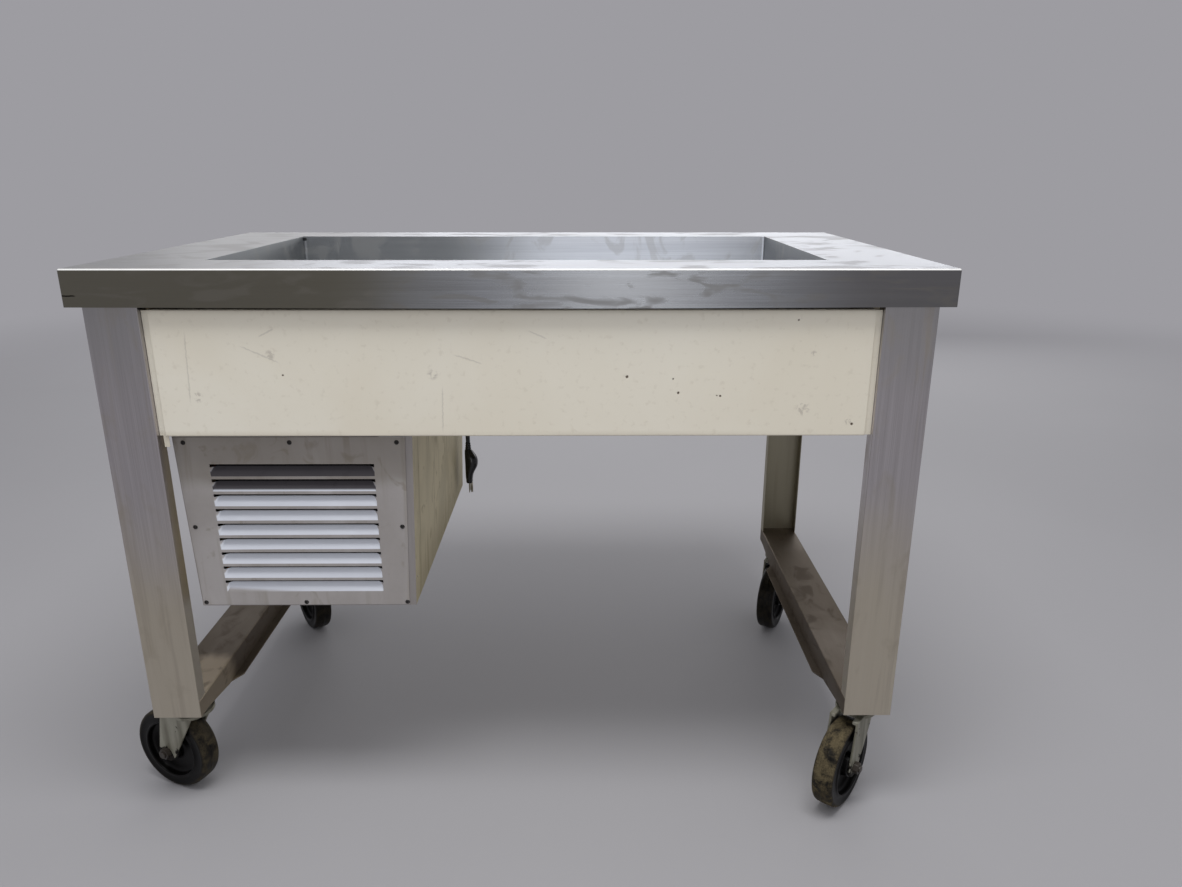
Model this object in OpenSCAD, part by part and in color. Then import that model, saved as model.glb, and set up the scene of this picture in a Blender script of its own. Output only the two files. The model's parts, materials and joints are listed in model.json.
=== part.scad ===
// Mobile salad bar: a refrigerated well in a stainless steel worktop on four
// channel legs, with a condensing unit hung at its left and four swivel casters.
// Units are millimetres. X runs to the right, -Y to the front, Z up from the floor.
// The origin lies on the floor under the middle of the worktop.

/* [Worktop] */
// Length of the worktop, left to right
top_w = 1270; // [1200:1:1400]
// Depth of the worktop, front to back
top_d = 734; // [700:1:800]
// Height of the worktop above the floor
top_h = 914; // [880:1:960]
// Height of the turned-down rim
rim_h = 54; // [45:1:56]
// Width of the hem folded in under the rim
rim_hem = 5; // [3:0.5:5.5]
// Sheet thickness of the worktop
top_sheet = 1.5; // [1.2:0.1:2]
// Outside radius of the worktop's bends
top_bend = 3; // [2.5:0.5:4]

/* [Well] */
// Distance from the worktop's ends to the well
well_end = 157.5; // [150:0.5:190]
// Distance from the worktop's front and back to the well
well_side = 123.5; // [118:0.5:150]
// Depth of the cold pan below the worktop
pan_depth = 140; // [120:1:145]
// Sheet thickness of the cold pan
pan_sheet = 1.2; // [1:0.1:1.5]
// Inside radius of the pan's corners and cove
pan_cove = 5; // [3:0.5:12]
// Thickness of the foam round the pan
foam_t = 30; // [24:1:32]
// Sheet thickness of the jacket round the foam
jacket_sheet = 0.9; // [0.7:0.1:1.2]
// Width of the jacket's flange under the worktop
jacket_flange = 12; // [8:1:16]

/* [Legs and rails] */
// Width of a leg's web and of a rail
leg_w = 78; // [74:1:82]
// Depth of a leg's flanges
leg_depth = 25; // [20:1:30]
// Sheet thickness of the legs
leg_sheet = 2; // [1.5:0.1:2.5]
// Distance from the worktop's end to a leg
leg_inset = 23; // [20:1:32]
// Distance from the worktop's front or back to a leg's web
leg_setback = 6; // [6:0.5:9]
// Height of a leg's lower end above the floor
leg_bottom = 179; // [177:0.5:184]
// Height of a rail's top above the floor
rail_top = 209; // [206:1:225]
// Height of a rail's sides
rail_side = 43; // [36:1:43]
// Width of a rail's lower flanges
rail_hat = 14; // [8:1:18]
// Sheet thickness of the rails
rail_sheet = 2; // [1.5:0.1:2.5]
// Width of the channels under the worktop's ends
deck_channel_w = 60; // [50:1:66]
// Height of the channels under the worktop's ends
deck_channel_h = 30; // [20:1:45]

/* [Aprons] */
// Height of the aprons
apron_h = 190; // [160:1:193]
// Gap between the rim and the aprons
apron_gap = 5; // [3:0.5:8]
// Distance from the worktop's edge to the front apron's face
apron_setback = 12; // [10:0.5:16]
// Length by which an end apron laps behind a leg's flange
end_apron_lap = 15; // [8:1:16]
// Width of the aprons' folded flanges
apron_flange = 20; // [12:1:24]
// Sheet thickness of the aprons
apron_sheet = 1.2; // [1:0.1:1.6]
// Width of the stepped strip at the ends of the front and rear aprons
apron_step_w = 10; // [6:1:14]
// Depth of that step
apron_step = 2.5; // [1.5:0.1:4]

/* [Casters] */
// Diameter of a wheel over its tread
wheel_d = 152; // [146:1:154]
// Width of the tread
tread_w = 37; // [32:1:40]
// Distance from the swivel axis to the axle, measured level
trail = 48; // [42:1:52]
// Overall height of a caster
caster_h = 190; // [190:0.5:192]
// Distance from a leg's web to the swivel axis
caster_inset = 52; // [48:1:58]
// Length of a caster's top plate
caster_plate_l = 100; // [98:1:110]
// Thickness of a caster's top plate
caster_plate_t = 4; // [3:0.5:5]
// Thickness of the mounting plate welded into a rail's end
mount_plate_t = 4; // [3:0.5:6]
// Thickness of the fork's sheet
fork_sheet = 4; // [3:0.5:5]
// Radius of the fork's crown
fork_crown_r = 35; // [33:1:38]
// Radius of the rounded ends of the fork's arms
fork_eye_r = 18; // [14:1:20]
// Radius of the axle bolt
axle_r = 6; // [5:0.5:6.5]
// Radius of the sleeve that the wheel turns on
sleeve_r = 8; // [7.5:0.5:10]
// Radius of the kingpin
kingpin_r = 7; // [6:0.5:8]
// Heading of the front left caster's trail, in degrees from +X
heading_fl = 158; // [0:1:360]
// Heading of the front right caster's trail
heading_fr = 230; // [0:1:360]
// Heading of the rear left caster's trail
heading_rl = 305; // [0:1:360]
// Heading of the rear right caster's trail
heading_rr = 243; // [0:1:360]

/* [Machine housing] */
// Width of the housing at its top
housing_w = 366; // [362:1:370]
// Distance by which each side of the housing leans in at its bottom
housing_taper = 10.5; // [0:0.5:11]
// Depth of the housing, front to back
housing_d = 560; // [540:1:575]
// Height of the housing
housing_h = 288; // [284:1:300]
// Distance from the worktop's front to the housing's front
housing_setback = 30; // [29:1:40]
// Gap between the left leg and the housing
housing_leg_gap = 8.5; // [6:0.5:14]
// Gap between the aprons' lower edge and the housing's top
housing_drop = 4; // [3:0.5:6]
// Sheet thickness of the housing and its panels
housing_sheet = 1.2; // [1:0.1:1.5]
// Width of the housing's folded flanges at its sides and top
housing_flange = 24; // [22:0.5:28]
// Width of the housing's folded flanges at its bottom
lower_flange = 14; // [12:0.5:16]
// Distance from the housing's right side to the front panel's edge
panel_margin = 11; // [8:0.5:12]
// Number of louvres in a panel
louvre_n = 9; // [6:1:9]
// Distance from the louvres to a panel's right edge
louvre_right = 50.5; // [48:0.5:60]
// Distance between louvres
louvre_pitch = 24.6; // [23:0.1:25.5]
// Height of a louvre's opening
louvre_h = 20; // [17:0.5:21]
// Depth to which a louvre is pressed in
louvre_depth = 8; // [6:0.5:10]
// Height of the slot above a louvre's lip
louvre_slot = 5; // [3:0.5:6]
// Length of the taper at a louvre's ends
louvre_taper = 9; // [6:0.5:12]
// Distance from the housing's top to the first louvre
louvre_drop = 46; // [44:1:50]
// Distance from a panel's left edge to the louvres
louvre_margin = 50.5; // [48:0.5:60]
// Radius of the panel screws
screw_r = 2; // [1.5:0.1:2.5]

/* [Condensing unit] */
// Thickness of the unit's base plate
base_t = 2; // [1.5:0.1:3]
// Distance from the housing's sides to the condenser's finned block
cond_margin = 51; // [50:0.5:62]
// Height of the condenser's finned block
cond_h = 244; // [236:1:250]
// Depth of the condenser's finned block
cond_d = 44; // [36:1:48]
// Number of the condenser's tube runs
cond_runs = 8; // [6:2:8]
// Distance between the condenser's tube runs
cond_pitch = 28; // [26:0.5:30]
// Distance between the condenser's fins
fin_pitch = 6; // [5:0.5:8]
// Radius over the fan's blades
fan_r = 98; // [90:1:100]
// Number of the fan's blades
fan_blades = 5; // [3:1:6]
// Radius of the fan motor
motor_r = 38; // [32:1:42]
// Radius of the compressor's shell
comp_r = 80; // [74:1:82]
// Height of the compressor's shell
comp_h = 176; // [165:1:180]
// Distance from the housing's back to the compressor's shell
comp_back = 100; // [96:1:104]
// Radius of the liquid and discharge lines
line_r = 3.2; // [3:0.1:4]
// Radius of the evaporator's tube and of the suction line
suction_r = 4.75; // [4:0.05:5]
// Distance from the well's front and back to the evaporator's outer runs
evap_side = 33.5; // [30:0.5:50]
// Distance from the well's ends to the evaporator's bends
evap_end = 37.5; // [34:0.5:50]
// Radius of the filter drier
drier_r = 12.5; // [10:0.5:14]
// Length of the filter drier
drier_l = 100; // [80:1:110]

/* [Drain] */
// Distance from the well's right end to the drain
drain_margin = 97.5; // [85:0.5:120]
// Outside radius of the drain pipe
drain_r = 16.7; // [14:0.1:17]
// Wall of the drain pipe
drain_wall = 3.4; // [2.5:0.1:4]
// Length of the valve's lever
lever_l = 110; // [80:1:120]

/* [Cord] */
// Diameter of the power cord
cord_d = 9; // [8:0.1:9.2]
// Distance from the housing's right side to the strain relief
relief_right = 226.5; // [224:0.5:228]
// Distance from the housing's back to the strain relief
relief_back = 59; // [56:1:62]
// Turns in the stowed coil
coil_turns = 6; // [4:2:6]
// Diameter of the coil at the middle of its turns
coil_mid_d = 107; // [106:0.5:108]

/* [Hidden] */
$fn = 48;
// Gap between pieces that are welded, glued or bolted together
seam = 0.1;
// Gap of a fixed piece round a pipe or cord
pass = 1;
// Radial clearance of a running fit
running = 0.05;
// Gap between pieces that move past each other
swing = 0.4;

half_w = top_w / 2;
half_d = top_d / 2;
deck_under = top_h - top_sheet;
rim_bottom = top_h - rim_h;

leg_x = half_w - leg_inset - leg_w / 2;
web_y = half_d - leg_setback;
rail_half = web_y - leg_sheet - seam;
rail_bottom = rail_top - rail_side;
// Where a rail's lower edge starts and ends its rise to the leg's lower end
rise_start = 30;
rise_end = 120;
hat_mitre = 25;

apron_top = rim_bottom - apron_gap;
apron_bottom = apron_top - apron_h;
apron_y = half_d - apron_setback;
apron_half = leg_x - leg_w / 2 - seam * 3;
end_apron_x = leg_x + leg_w / 2 - leg_sheet - seam;
end_apron_half = web_y - leg_depth + end_apron_lap;

well_w = top_w - 2 * well_end;
well_d = top_d - 2 * well_side;
pan_w = well_w + 2 * pan_sheet;
pan_d = well_d + 2 * pan_sheet;
pan_floor = top_h - pan_depth;
pan_under = pan_floor - pan_sheet;
foam_w = pan_w + 2 * foam_t;
foam_d = pan_d + 2 * foam_t;
foam_bottom = pan_under - foam_t;
jacket_w = foam_w + 2 * (jacket_sheet + seam);
jacket_d = foam_d + 2 * (jacket_sheet + seam);
jacket_bottom = foam_bottom - seam - jacket_sheet;
foam_recess = 2 * suction_r + 2 * seam;

caster_y = rail_half - caster_inset;
axle_z = wheel_d / 2;
plate_bottom = caster_h - caster_plate_t;
mount_bottom = caster_h + seam;
crown_top = rail_top - rail_side - 2;
crown_bottom = crown_top - fork_sheet - 2;
race_gap_z = crown_top + 4;
rivet_t = 3;
plate_w = leg_w - 2 * rail_sheet - 4 * seam;
plate_y = rail_half - seam - caster_plate_l / 2;
bolt_dx = 24;
bolt_dy = caster_plate_l / 2 - 12;
caster_bolt_r = 4;
hub_half = tread_w / 2 + 2.5;
fork_inner = hub_half + swing;
fork_outer = fork_inner + fork_sheet;
CORNERS = [[-1, -1, heading_fl], [1, -1, heading_fr], [-1, 1, heading_rl], [1, 1, heading_rr]];

housing_left = -leg_x + leg_w / 2 + housing_leg_gap;
housing_x = housing_left + housing_w / 2;
housing_right = housing_left + housing_w;
housing_front = -half_d + housing_setback;
housing_back = housing_front + housing_d;
housing_top = apron_bottom - housing_drop;
housing_bottom = housing_top - housing_h;
shell_front = housing_front + housing_sheet + seam;
shell_back = housing_back - housing_sheet - seam;
panel_edge = 2;
panel_left = housing_left + panel_edge;
panel_right = housing_right - panel_margin;
panel_low = housing_bottom + panel_edge;
panel_high = housing_top - panel_edge;
louvre_l = panel_right - panel_left - louvre_margin - louvre_right;
screw_left = 15;
screw_right = 13.5;
screw_high = 9;
screw_low = 4.5;
SCREW_X = [panel_left + screw_left, (panel_left + panel_right) / 2, panel_right - screw_right];
SCREW_Z = [panel_high - screw_high, (panel_low + panel_high) / 2 - 6, panel_low + screw_low];

base_z = housing_bottom + housing_sheet + seam;
base_top = base_z + base_t;
cond_z = base_top + seam;
cond_w = housing_w - 2 * cond_margin;
cond_y = housing_front + louvre_depth + 18;
cond_mid_y = cond_y + cond_d / 2;
cond_back = cond_y + cond_d;
cond_low_run = cond_z + (cond_h - cond_pitch * (cond_runs - 1)) / 2;
cond_high_run = cond_low_run + cond_pitch * (cond_runs - 1);
cond_end = cond_w / 2 + 4;
fan_z = cond_z + cond_h / 2;
shroud_t = 1.2;
shroud_y = cond_back + seam;
orifice_r = fan_r + 5;
orifice_depth = 26;
fan_y = shroud_y + 4;
fan_hub_l = 24;
fan_hub_r = 22;
fan_shaft_r = 4;
motor_y = fan_y + fan_hub_l + 8;
motor_l = 50;
bracket_y = motor_y + motor_l - 6;

comp_x = housing_x + 8;
comp_y = housing_back - comp_back - comp_r;
comp_foot_z = base_top + 20;
comp_foot_t = 3;
comp_z = comp_foot_z + comp_foot_t;
comp_top = comp_z + comp_h;
foot_dx = comp_r + 12;
foot_dy = comp_r * 0.62;
mount_bolt_r = 3.5;
stub_x = comp_x - 35;
suction_y = comp_y + 25;
discharge_y = comp_y - 20;
stub_top = comp_top + 12;
pipe_bend = 12;
discharge_rise = 40;
side_pipe_x = housing_left + cond_margin - 28;
drier_y = comp_y - comp_r - 20;
drier_z = cond_low_run + 25;
gap_pipe_z = (housing_top + jacket_bottom) / 2;
evap_z = pan_under - seam - suction_r;
evap_half = well_w / 2 - evap_end;
evap_runs = 8;
// To half a millimetre, so that each bend of half the pitch ends where the next begins
evap_pitch = round(2 * (well_d - 2 * evap_side) / (evap_runs - 1)) / 2;
evap_low_y = -evap_pitch * (evap_runs - 1) / 2;
evap_end_z = evap_z - evap_pitch / 2 - 4;
evap_left = -evap_half - 15;

drain_x = well_w / 2 - drain_margin;
valve_r = 26;
// Distance from the middle of the valve to the end of each of its nuts
valve_half = 38;
valve_nut_h = 18;
ball_r = drain_r + 0.3;
drain_bore = drain_r - drain_wall;
valve_top = jacket_bottom - 40;
valve_z = valve_top - valve_half;
outlet_l = 30;
stem_r = 5;
gland_l = valve_r + 8;

thermo_w = 60;
thermo_d = 35;
thermo_h = 70;
thermo_z = housing_top - 106;
thermo_x = housing_right - lean(thermo_z) - housing_sheet - seam - thermo_w;
thermo_y = housing_back - 76;
knob_r = 16;
knob_l = 14;
knob_shaft_r = 3;

// The cord leaves the housing's top at its strain relief. Its coil lies there on its tie, and
// the lead reaches it, and the drop leaves it, at the middle of the coil's back
relief_h = 22;
relief = [housing_right - relief_right, housing_back - relief_back, housing_top];
// Points of the cord from the strain relief to the coil, then from the coil to the plug, both
// measured from the foot of the strain relief
LEAD = [[0, 0, relief_h], [0, 0, 31], [5, 0, 49], [18, 0, 62], [36, 0, 67], [53, 0, 63],
    [67, 0, 52], [75, 0, 37], [81, 0, 23], [94, 0, 11], [114, 0, 5.6], [132, 0, 5.6]];
DROP = [[150, 0, 15.2], [177, 0, 15.2], [204, 0, 15.2], [222, 0, 10], [235, 0, -3], [240, 0, -21],
    [240, 0, -48], [240, 0, -75], [240, 0, -102], [240, 0, -129], [240, 0, -155], [240, 0, -169]];
LEAD_ROUTE = [for (p = LEAD) relief + p];
DROP_ROUTE = [for (p = DROP) relief + p];
tie_t = 0.8;
coil_pitch = 9.7;
coil_layer = DROP[0].z - LEAD[len(LEAD) - 1].z;
coil_out_r = coil_mid_d / 2 + coil_pitch * coil_turns / 4;
lead_end = LEAD_ROUTE[len(LEAD) - 1];
coil_x = lead_end.x + cord_d;
coil_y = lead_end.y - coil_out_r;
coil_low_z = lead_end.z;
plug_place = DROP_ROUTE[len(DROP) - 1];
CORD_SIDES = 8;
COIL_SIDES = 6;
RINGS_PER_TURN = 24;

steel = [0.58, 0.57, 0.56];
bright_steel = [0.72, 0.73, 0.75];
galvanised = [0.50, 0.49, 0.46];
cream = [0.80, 0.78, 0.70];
copper = [0.72, 0.42, 0.26];
black = [0.07, 0.07, 0.07];
zinc = [0.55, 0.57, 0.53];

// ---- Shapes that are used more than once ----

// Copies its children to both sides of the plane x = 0
module both_x() {
    children();
    mirror([1, 0, 0]) children();
}

// Copies its children to both sides of the plane y = 0
module both_y() {
    children();
    mirror([0, 1, 0]) children();
}

// A box by its lowest and highest corners
module block(low, high) {
    translate(low) cube(high - low);
}

// A box centred on x = y = 0, from z = 0, with radius r on its upright and lower edges
module tray_form(w, d, h, r) {
    translate([-w / 2 + r, -d / 2 + r, 0]) cube([w - 2 * r, d - 2 * r, h]);
    translate([-w / 2, -d / 2 + r, r]) cube([w, d - 2 * r, h - r]);
    translate([-w / 2 + r, -d / 2, r]) cube([w - 2 * r, d, h - r]);
    for (x = [-w / 2 + r, w / 2 - r]) {
        for (y = [-d / 2 + r, d / 2 - r]) {
            translate([x, y, r]) cylinder(r = r, h = h - r);
            translate([x, y, r]) sphere(r = r);
        }
        translate([x, -d / 2 + r, r]) rotate([-90, 0, 0]) cylinder(r = r, h = d - 2 * r);
    }
    for (y = [-d / 2 + r, d / 2 - r]) {
        translate([-w / 2 + r, y, r]) rotate([0, 90, 0]) cylinder(r = r, h = w - 2 * r);
    }
}

// A tube of radius r along points whose runs meet at right angles, bent with radius bend
module pipe(points, r, bend) {
    last = len(points) - 1;
    for (i = [0 : last - 1]) {
        run = points[i + 1] - points[i];
        dir = run / norm(run);
        from = points[i] + dir * (i == 0 ? 0 : bend);
        long = norm(run) - (i == 0 ? 0 : bend) - (i == last - 1 ? 0 : bend);
        if (long > 0.01) along(from, dir) cylinder(r = r, h = long);
    }
    for (i = [1 : last - 1]) {
        u = (points[i] - points[i - 1]) / norm(points[i] - points[i - 1]);
        v = (points[i + 1] - points[i]) / norm(points[i + 1] - points[i]);
        centre = points[i] - u * bend + v * bend;
        w = cross(u, v);
        multmatrix([[-v.x, u.x, w.x, centre.x], [-v.y, u.y, w.y, centre.y],
            [-v.z, u.z, w.z, centre.z], [0, 0, 0, 1]])
            rotate_extrude(angle = 90) translate([bend, 0]) circle(r = r);
    }
}

// Places children's Z axis along the unit vector dir, at a point
module along(point, dir) {
    turn = [0, acos(dir.z), atan2(dir.y, dir.x)];
    translate(point) rotate(turn) children();
}

// A hexagonal bolt head or nut, by its width across the flats
module hexagon(flats, h) {
    cylinder(r = flats / sqrt(3), h = h, $fn = 6);
}

// ---- Functions for the cord ----

function unit(v) = v / norm(v);
// One ring of a swept tube, square to the path
function ring(p, i, r, sides, side_dir) =
    let (t = unit(p[min(i + 1, len(p) - 1)] - p[max(i - 1, 0)]),
        s = unit(side_dir - t * (t * side_dir)), n = cross(t, s))
    [for (k = [0 : sides - 1]) p[i] + r * (cos(k * 360 / sides) * s + sin(k * 360 / sides) * n)];

// A tube of constant radius swept along the path p, whose side_dir is never along it
module swept(p, r, sides, side_dir) {
    rings = len(p);
    points = [for (i = [0 : rings - 1]) each ring(p, i, r, sides, side_dir)];
    walls = [for (i = [0 : rings - 2]) for (k = [0 : sides - 1])
        let (n = (k + 1) % sides)
        [i * sides + k, (i + 1) * sides + k, (i + 1) * sides + n, i * sides + n]];
    caps = [[for (k = [0 : sides - 1]) k],
        [for (k = [sides - 1 : -1 : 0]) (rings - 1) * sides + k]];
    polyhedron(points, concat(walls, caps));
}

// The coil runs clockwise, seen from above, from the back. It spirals in on the lower layer,
// climbs where the spiral turns and spirals out on the upper one
function coil_radius(turn) = coil_out_r - coil_pitch * (coil_turns / 2 - abs(turn - coil_turns / 2));
function coil_climb(turn) =
    let (t = min(max((turn - coil_turns / 2) * 2 + 0.5, 0), 1)) t * t * (3 - 2 * t);
function coil_point(turn) =
    [coil_x + coil_radius(turn) * sin(turn * 360), coil_y + coil_radius(turn) * cos(turn * 360),
    coil_low_z + coil_layer * coil_climb(turn)];
coil_body = [for (i = [0 : coil_turns * RINGS_PER_TURN]) coil_point(i / RINGS_PER_TURN)];
coil_path = concat([coil_body[0] - [cord_d, 0, 0]], coil_body,
    [coil_body[len(coil_body) - 1] + [cord_d, 0, 0]]);
// Least distance between stretches of the coil that are half a turn or more apart
coil_gap = min([for (i = [0 : len(coil_path) - 1])
    for (j = [i + RINGS_PER_TURN / 2 : 1 : len(coil_path) - 1]) norm(coil_path[i] - coil_path[j])])
    - cord_d;
echo(coil_gap = coil_gap);

// ---- Worktop and well ----

module worktop() {
    color(bright_steel) difference() {
        union() {
            difference() {
                translate([0, 0, top_h]) mirror([0, 0, 1]) tray_form(top_w, top_d, rim_h, top_bend);
                translate([0, 0, deck_under]) mirror([0, 0, 1])
                    tray_form(top_w - 2 * top_sheet, top_d - 2 * top_sheet, rim_h,
                        top_bend - top_sheet);
            }
            rim_hem_frame();
        }
        cut_w = pan_w + 2 * seam;
        cut_d = pan_d + 2 * seam;
        block([-cut_w / 2, -cut_d / 2, deck_under - 1], [cut_w / 2, cut_d / 2, top_h + 1]);
    }
}

// The hem folded in along the rim's lower edge
module rim_hem_frame() {
    difference() {
        block([-half_w + top_bend, -half_d + top_sheet / 2, rim_bottom],
            [half_w - top_bend, half_d - top_sheet / 2, rim_bottom + top_sheet]);
        block([-half_w + rim_hem, -half_d + rim_hem, rim_bottom - 1],
            [half_w - rim_hem, half_d - rim_hem, rim_bottom + top_sheet + 1]);
    }
    both_x() block([-half_w + top_sheet / 2, -half_d + top_bend, rim_bottom],
        [-half_w + rim_hem, half_d - top_bend, rim_bottom + top_sheet]);
}

module cold_pan() {
    color(bright_steel) difference() {
        translate([0, 0, pan_under])
            tray_form(pan_w, pan_d, pan_depth + pan_sheet, pan_cove + pan_sheet);
        translate([0, 0, pan_floor]) tray_form(well_w, well_d, pan_depth + 1, pan_cove);
        translate([drain_x, 0, pan_under - 1]) cylinder(r = drain_r + seam, h = pan_sheet + 2);
    }
}

module pan_insulation() {
    color([0.85, 0.78, 0.5]) difference() {
        block([-foam_w / 2, -foam_d / 2, foam_bottom], [foam_w / 2, foam_d / 2, deck_under - seam]);
        block([-pan_w / 2 - seam, -pan_d / 2 - seam, pan_under - seam],
            [pan_w / 2 + seam, pan_d / 2 + seam, top_h]);
        block([-pan_w / 2 + foam_t, -pan_d / 2 + foam_t / 2, evap_z - foam_recess / 2],
            [pan_w / 2 - foam_t, pan_d / 2 - foam_t / 2, pan_under]);
        translate([drain_x, 0, foam_bottom - 1]) cylinder(r = drain_r + seam, h = foam_t + 2);
        // Slots for the bent ends of the evaporator's tube
        for (y = [-evap_low_y, evap_low_y])
            block([evap_left - suction_r - pass, y - suction_r - pass, foam_bottom - 1],
                [evap_left + evap_pitch / 2, y + suction_r + pass, pan_under]);
    }
}

module pan_jacket() {
    top = deck_under - seam;
    lip = jacket_flange;
    color(galvanised) difference() {
        union() {
            block([-jacket_w / 2, -jacket_d / 2, jacket_bottom], [jacket_w / 2, jacket_d / 2, top]);
            block([-jacket_w / 2 - lip, -jacket_d / 2 - lip, top - jacket_sheet],
                [jacket_w / 2 + lip, jacket_d / 2 + lip, top]);
        }
        block([-foam_w / 2 - seam, -foam_d / 2 - seam, jacket_bottom + jacket_sheet],
            [foam_w / 2 + seam, foam_d / 2 + seam, top + 1]);
        translate([drain_x, 0, jacket_bottom - 1]) cylinder(r = drain_r + seam, h = 5);
        for (y = [-evap_low_y, evap_low_y]) translate([evap_left, y, jacket_bottom - 1])
            cylinder(r = suction_r + pass, h = 5);
    }
}

module evaporator_tube() {
    low = evap_low_y;
    zigzag = [for (i = [0 : evap_runs - 1]) let (y = low + evap_pitch * i)
        each (i % 2 == 0 ? [[i == 0 ? evap_left : -evap_half, y, evap_z], [evap_half, y, evap_z]]
            : [[evap_half, y, evap_z], [i == evap_runs - 1 ? evap_left : -evap_half, y, evap_z]])];
    color(copper) pipe(concat([[evap_left, low, evap_end_z]], zigzag,
        [[evap_left, -low, evap_end_z]]), suction_r, evap_pitch / 2);
}

// ---- Aprons ----

// A folded panel that stands on its lower edge, with its face on y = 0 and its body at +Y
module apron_face(half, step_w) {
    t = apron_sheet;
    block([-half + step_w, 0, apron_bottom], [half - step_w, t, apron_top]);
    for (z = [apron_bottom, apron_top - t])
        block([-half + step_w, 0, z], [half - step_w, apron_flange, z + t]);
}

// The stepped strips at an apron's ends, which back its face by the step
module apron_ends(half) {
    both_x() block([-half, apron_step, apron_bottom + 1],
        [-half + apron_step_w + 6, apron_step + apron_sheet, apron_top - 1]);
    both_x() block([-half + apron_step_w, 0, apron_bottom + 1],
        [-half + apron_step_w + apron_sheet, apron_step + apron_sheet, apron_top - 1]);
}

module front_apron() {
    tab_inset = 5;
    tab_w = 8;
    tab_h = 17;
    color(cream) translate([0, -apron_y, 0]) {
        apron_face(apron_half, apron_step_w);
        apron_ends(apron_half);
        // Tab that hangs down beside the housing
        block([-apron_half + tab_inset, apron_step, apron_bottom - tab_h],
            [-apron_half + tab_inset + tab_w, apron_step + apron_sheet, apron_bottom + 10]);
    }
}

module rear_apron() {
    color(cream) mirror([0, 1, 0]) translate([0, -apron_y, 0]) {
        apron_face(apron_half, apron_step_w);
        apron_ends(apron_half);
    }
}

module left_apron() {
    color(cream) translate([-end_apron_x, 0, 0]) rotate([0, 0, -90])
        apron_face(end_apron_half, 0);
}

module right_apron() {
    color(cream) translate([end_apron_x, 0, 0]) rotate([0, 0, 90]) apron_face(end_apron_half, 0);
}

// ---- Legs, rails and channels ----

// A front leg, its web on the plane y = 0 and its flanges behind
module leg() {
    color(steel) {
        linear_extrude_from(rail_top + seam, deck_under - seam) difference() {
            translate([-leg_w / 2, 0]) square([leg_w, leg_depth]);
            translate([-leg_w / 2 + leg_sheet, leg_sheet]) square([leg_w - 2 * leg_sheet, leg_depth]);
        }
        block([-leg_w / 2, 0, leg_bottom], [leg_w / 2, leg_sheet, rail_top + 1]);
    }
}

module linear_extrude_from(low, high) {
    translate([0, 0, low]) linear_extrude(high - low) children();
}

module leg_front_left() { translate([-leg_x, -web_y, 0]) leg(); }
module leg_front_right() { translate([leg_x, -web_y, 0]) leg(); }
module leg_rear_left() { mirror([0, 1, 0]) leg_front_left(); }
module leg_rear_right() { mirror([0, 1, 0]) leg_front_right(); }

// An inverted channel between a front and a rear leg. Its lower edges rise at the ends to
// clear the casters, and its lower flanges are mitred there
module rail() {
    side_edge = [[rail_half, rail_top], [rail_half, leg_bottom], [rail_half - rise_start, leg_bottom],
        [rail_half - rise_end, rail_bottom], [-rail_half + rise_end, rail_bottom],
        [-rail_half + rise_start, leg_bottom], [-rail_half, leg_bottom], [-rail_half, rail_top]];
    hat_half = rail_half - rise_end - 4;
    hat_edge = leg_w / 2 + rail_hat;
    color(steel) {
        block([-leg_w / 2, -rail_half, rail_top - rail_sheet], [leg_w / 2, rail_half, rail_top]);
        both_x() {
            translate([leg_w / 2 - rail_sheet, 0, 0]) rotate([90, 0, 90])
                linear_extrude(rail_sheet) polygon(side_edge);
            translate([0, 0, rail_bottom]) linear_extrude(rail_sheet)
                polygon([[leg_w / 2 - rail_sheet, -hat_half], [leg_w / 2, -hat_half],
                    [hat_edge, -hat_half + hat_mitre], [hat_edge, hat_half - hat_mitre],
                    [leg_w / 2, hat_half], [leg_w / 2 - rail_sheet, hat_half]]);
        }
    }
}

module rail_left() { translate([-leg_x, 0, 0]) rail(); }
module rail_right() { translate([leg_x, 0, 0]) rail(); }

// Channels under the worktop's ends, which the legs are welded to
module deck_channels() {
    w = deck_channel_w;
    top = deck_under - 2 * seam;
    low = top - deck_channel_h;
    color(steel) both_x() translate([leg_x, 0, 0]) difference() {
        block([-w / 2, -rail_half, low], [w / 2, rail_half, top]);
        block([-w / 2 + leg_sheet, -rail_half - 1, low - 1],
            [w / 2 - leg_sheet, rail_half + 1, top - leg_sheet]);
    }
}

module caster_mount_plates() {
    color(steel) for (c = CORNERS) translate([c[0] * leg_x, c[1] * plate_y, 0]) difference() {
        block([-plate_w / 2, -caster_plate_l / 2, mount_bottom],
            [plate_w / 2, caster_plate_l / 2, mount_bottom + mount_plate_t]);
        bolt_places() translate([0, 0, mount_bottom - 1])
            cylinder(r = caster_bolt_r + seam, h = mount_plate_t + 2);
    }
}

module bolt_places() {
    for (x = [-bolt_dx, bolt_dx]) for (y = [-bolt_dy, bolt_dy]) translate([x, y, 0]) children();
}

// Bolts with their heads on the mounting plates and their nuts under the casters' plates
module caster_bolts() {
    head_z = mount_bottom + mount_plate_t + seam;
    nut_h = 6;
    color(zinc) for (c = CORNERS) translate([c[0] * leg_x, c[1] * plate_y, 0]) bolt_places() {
        translate([0, 0, head_z]) hexagon(13, 5.3);
        translate([0, 0, plate_bottom - nut_h - 2]) cylinder(r = caster_bolt_r, h = head_z
            - plate_bottom + nut_h + 3);
        translate([0, 0, plate_bottom - nut_h - seam]) hexagon(13, nut_h);
    }
}

// ---- Casters ----

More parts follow.
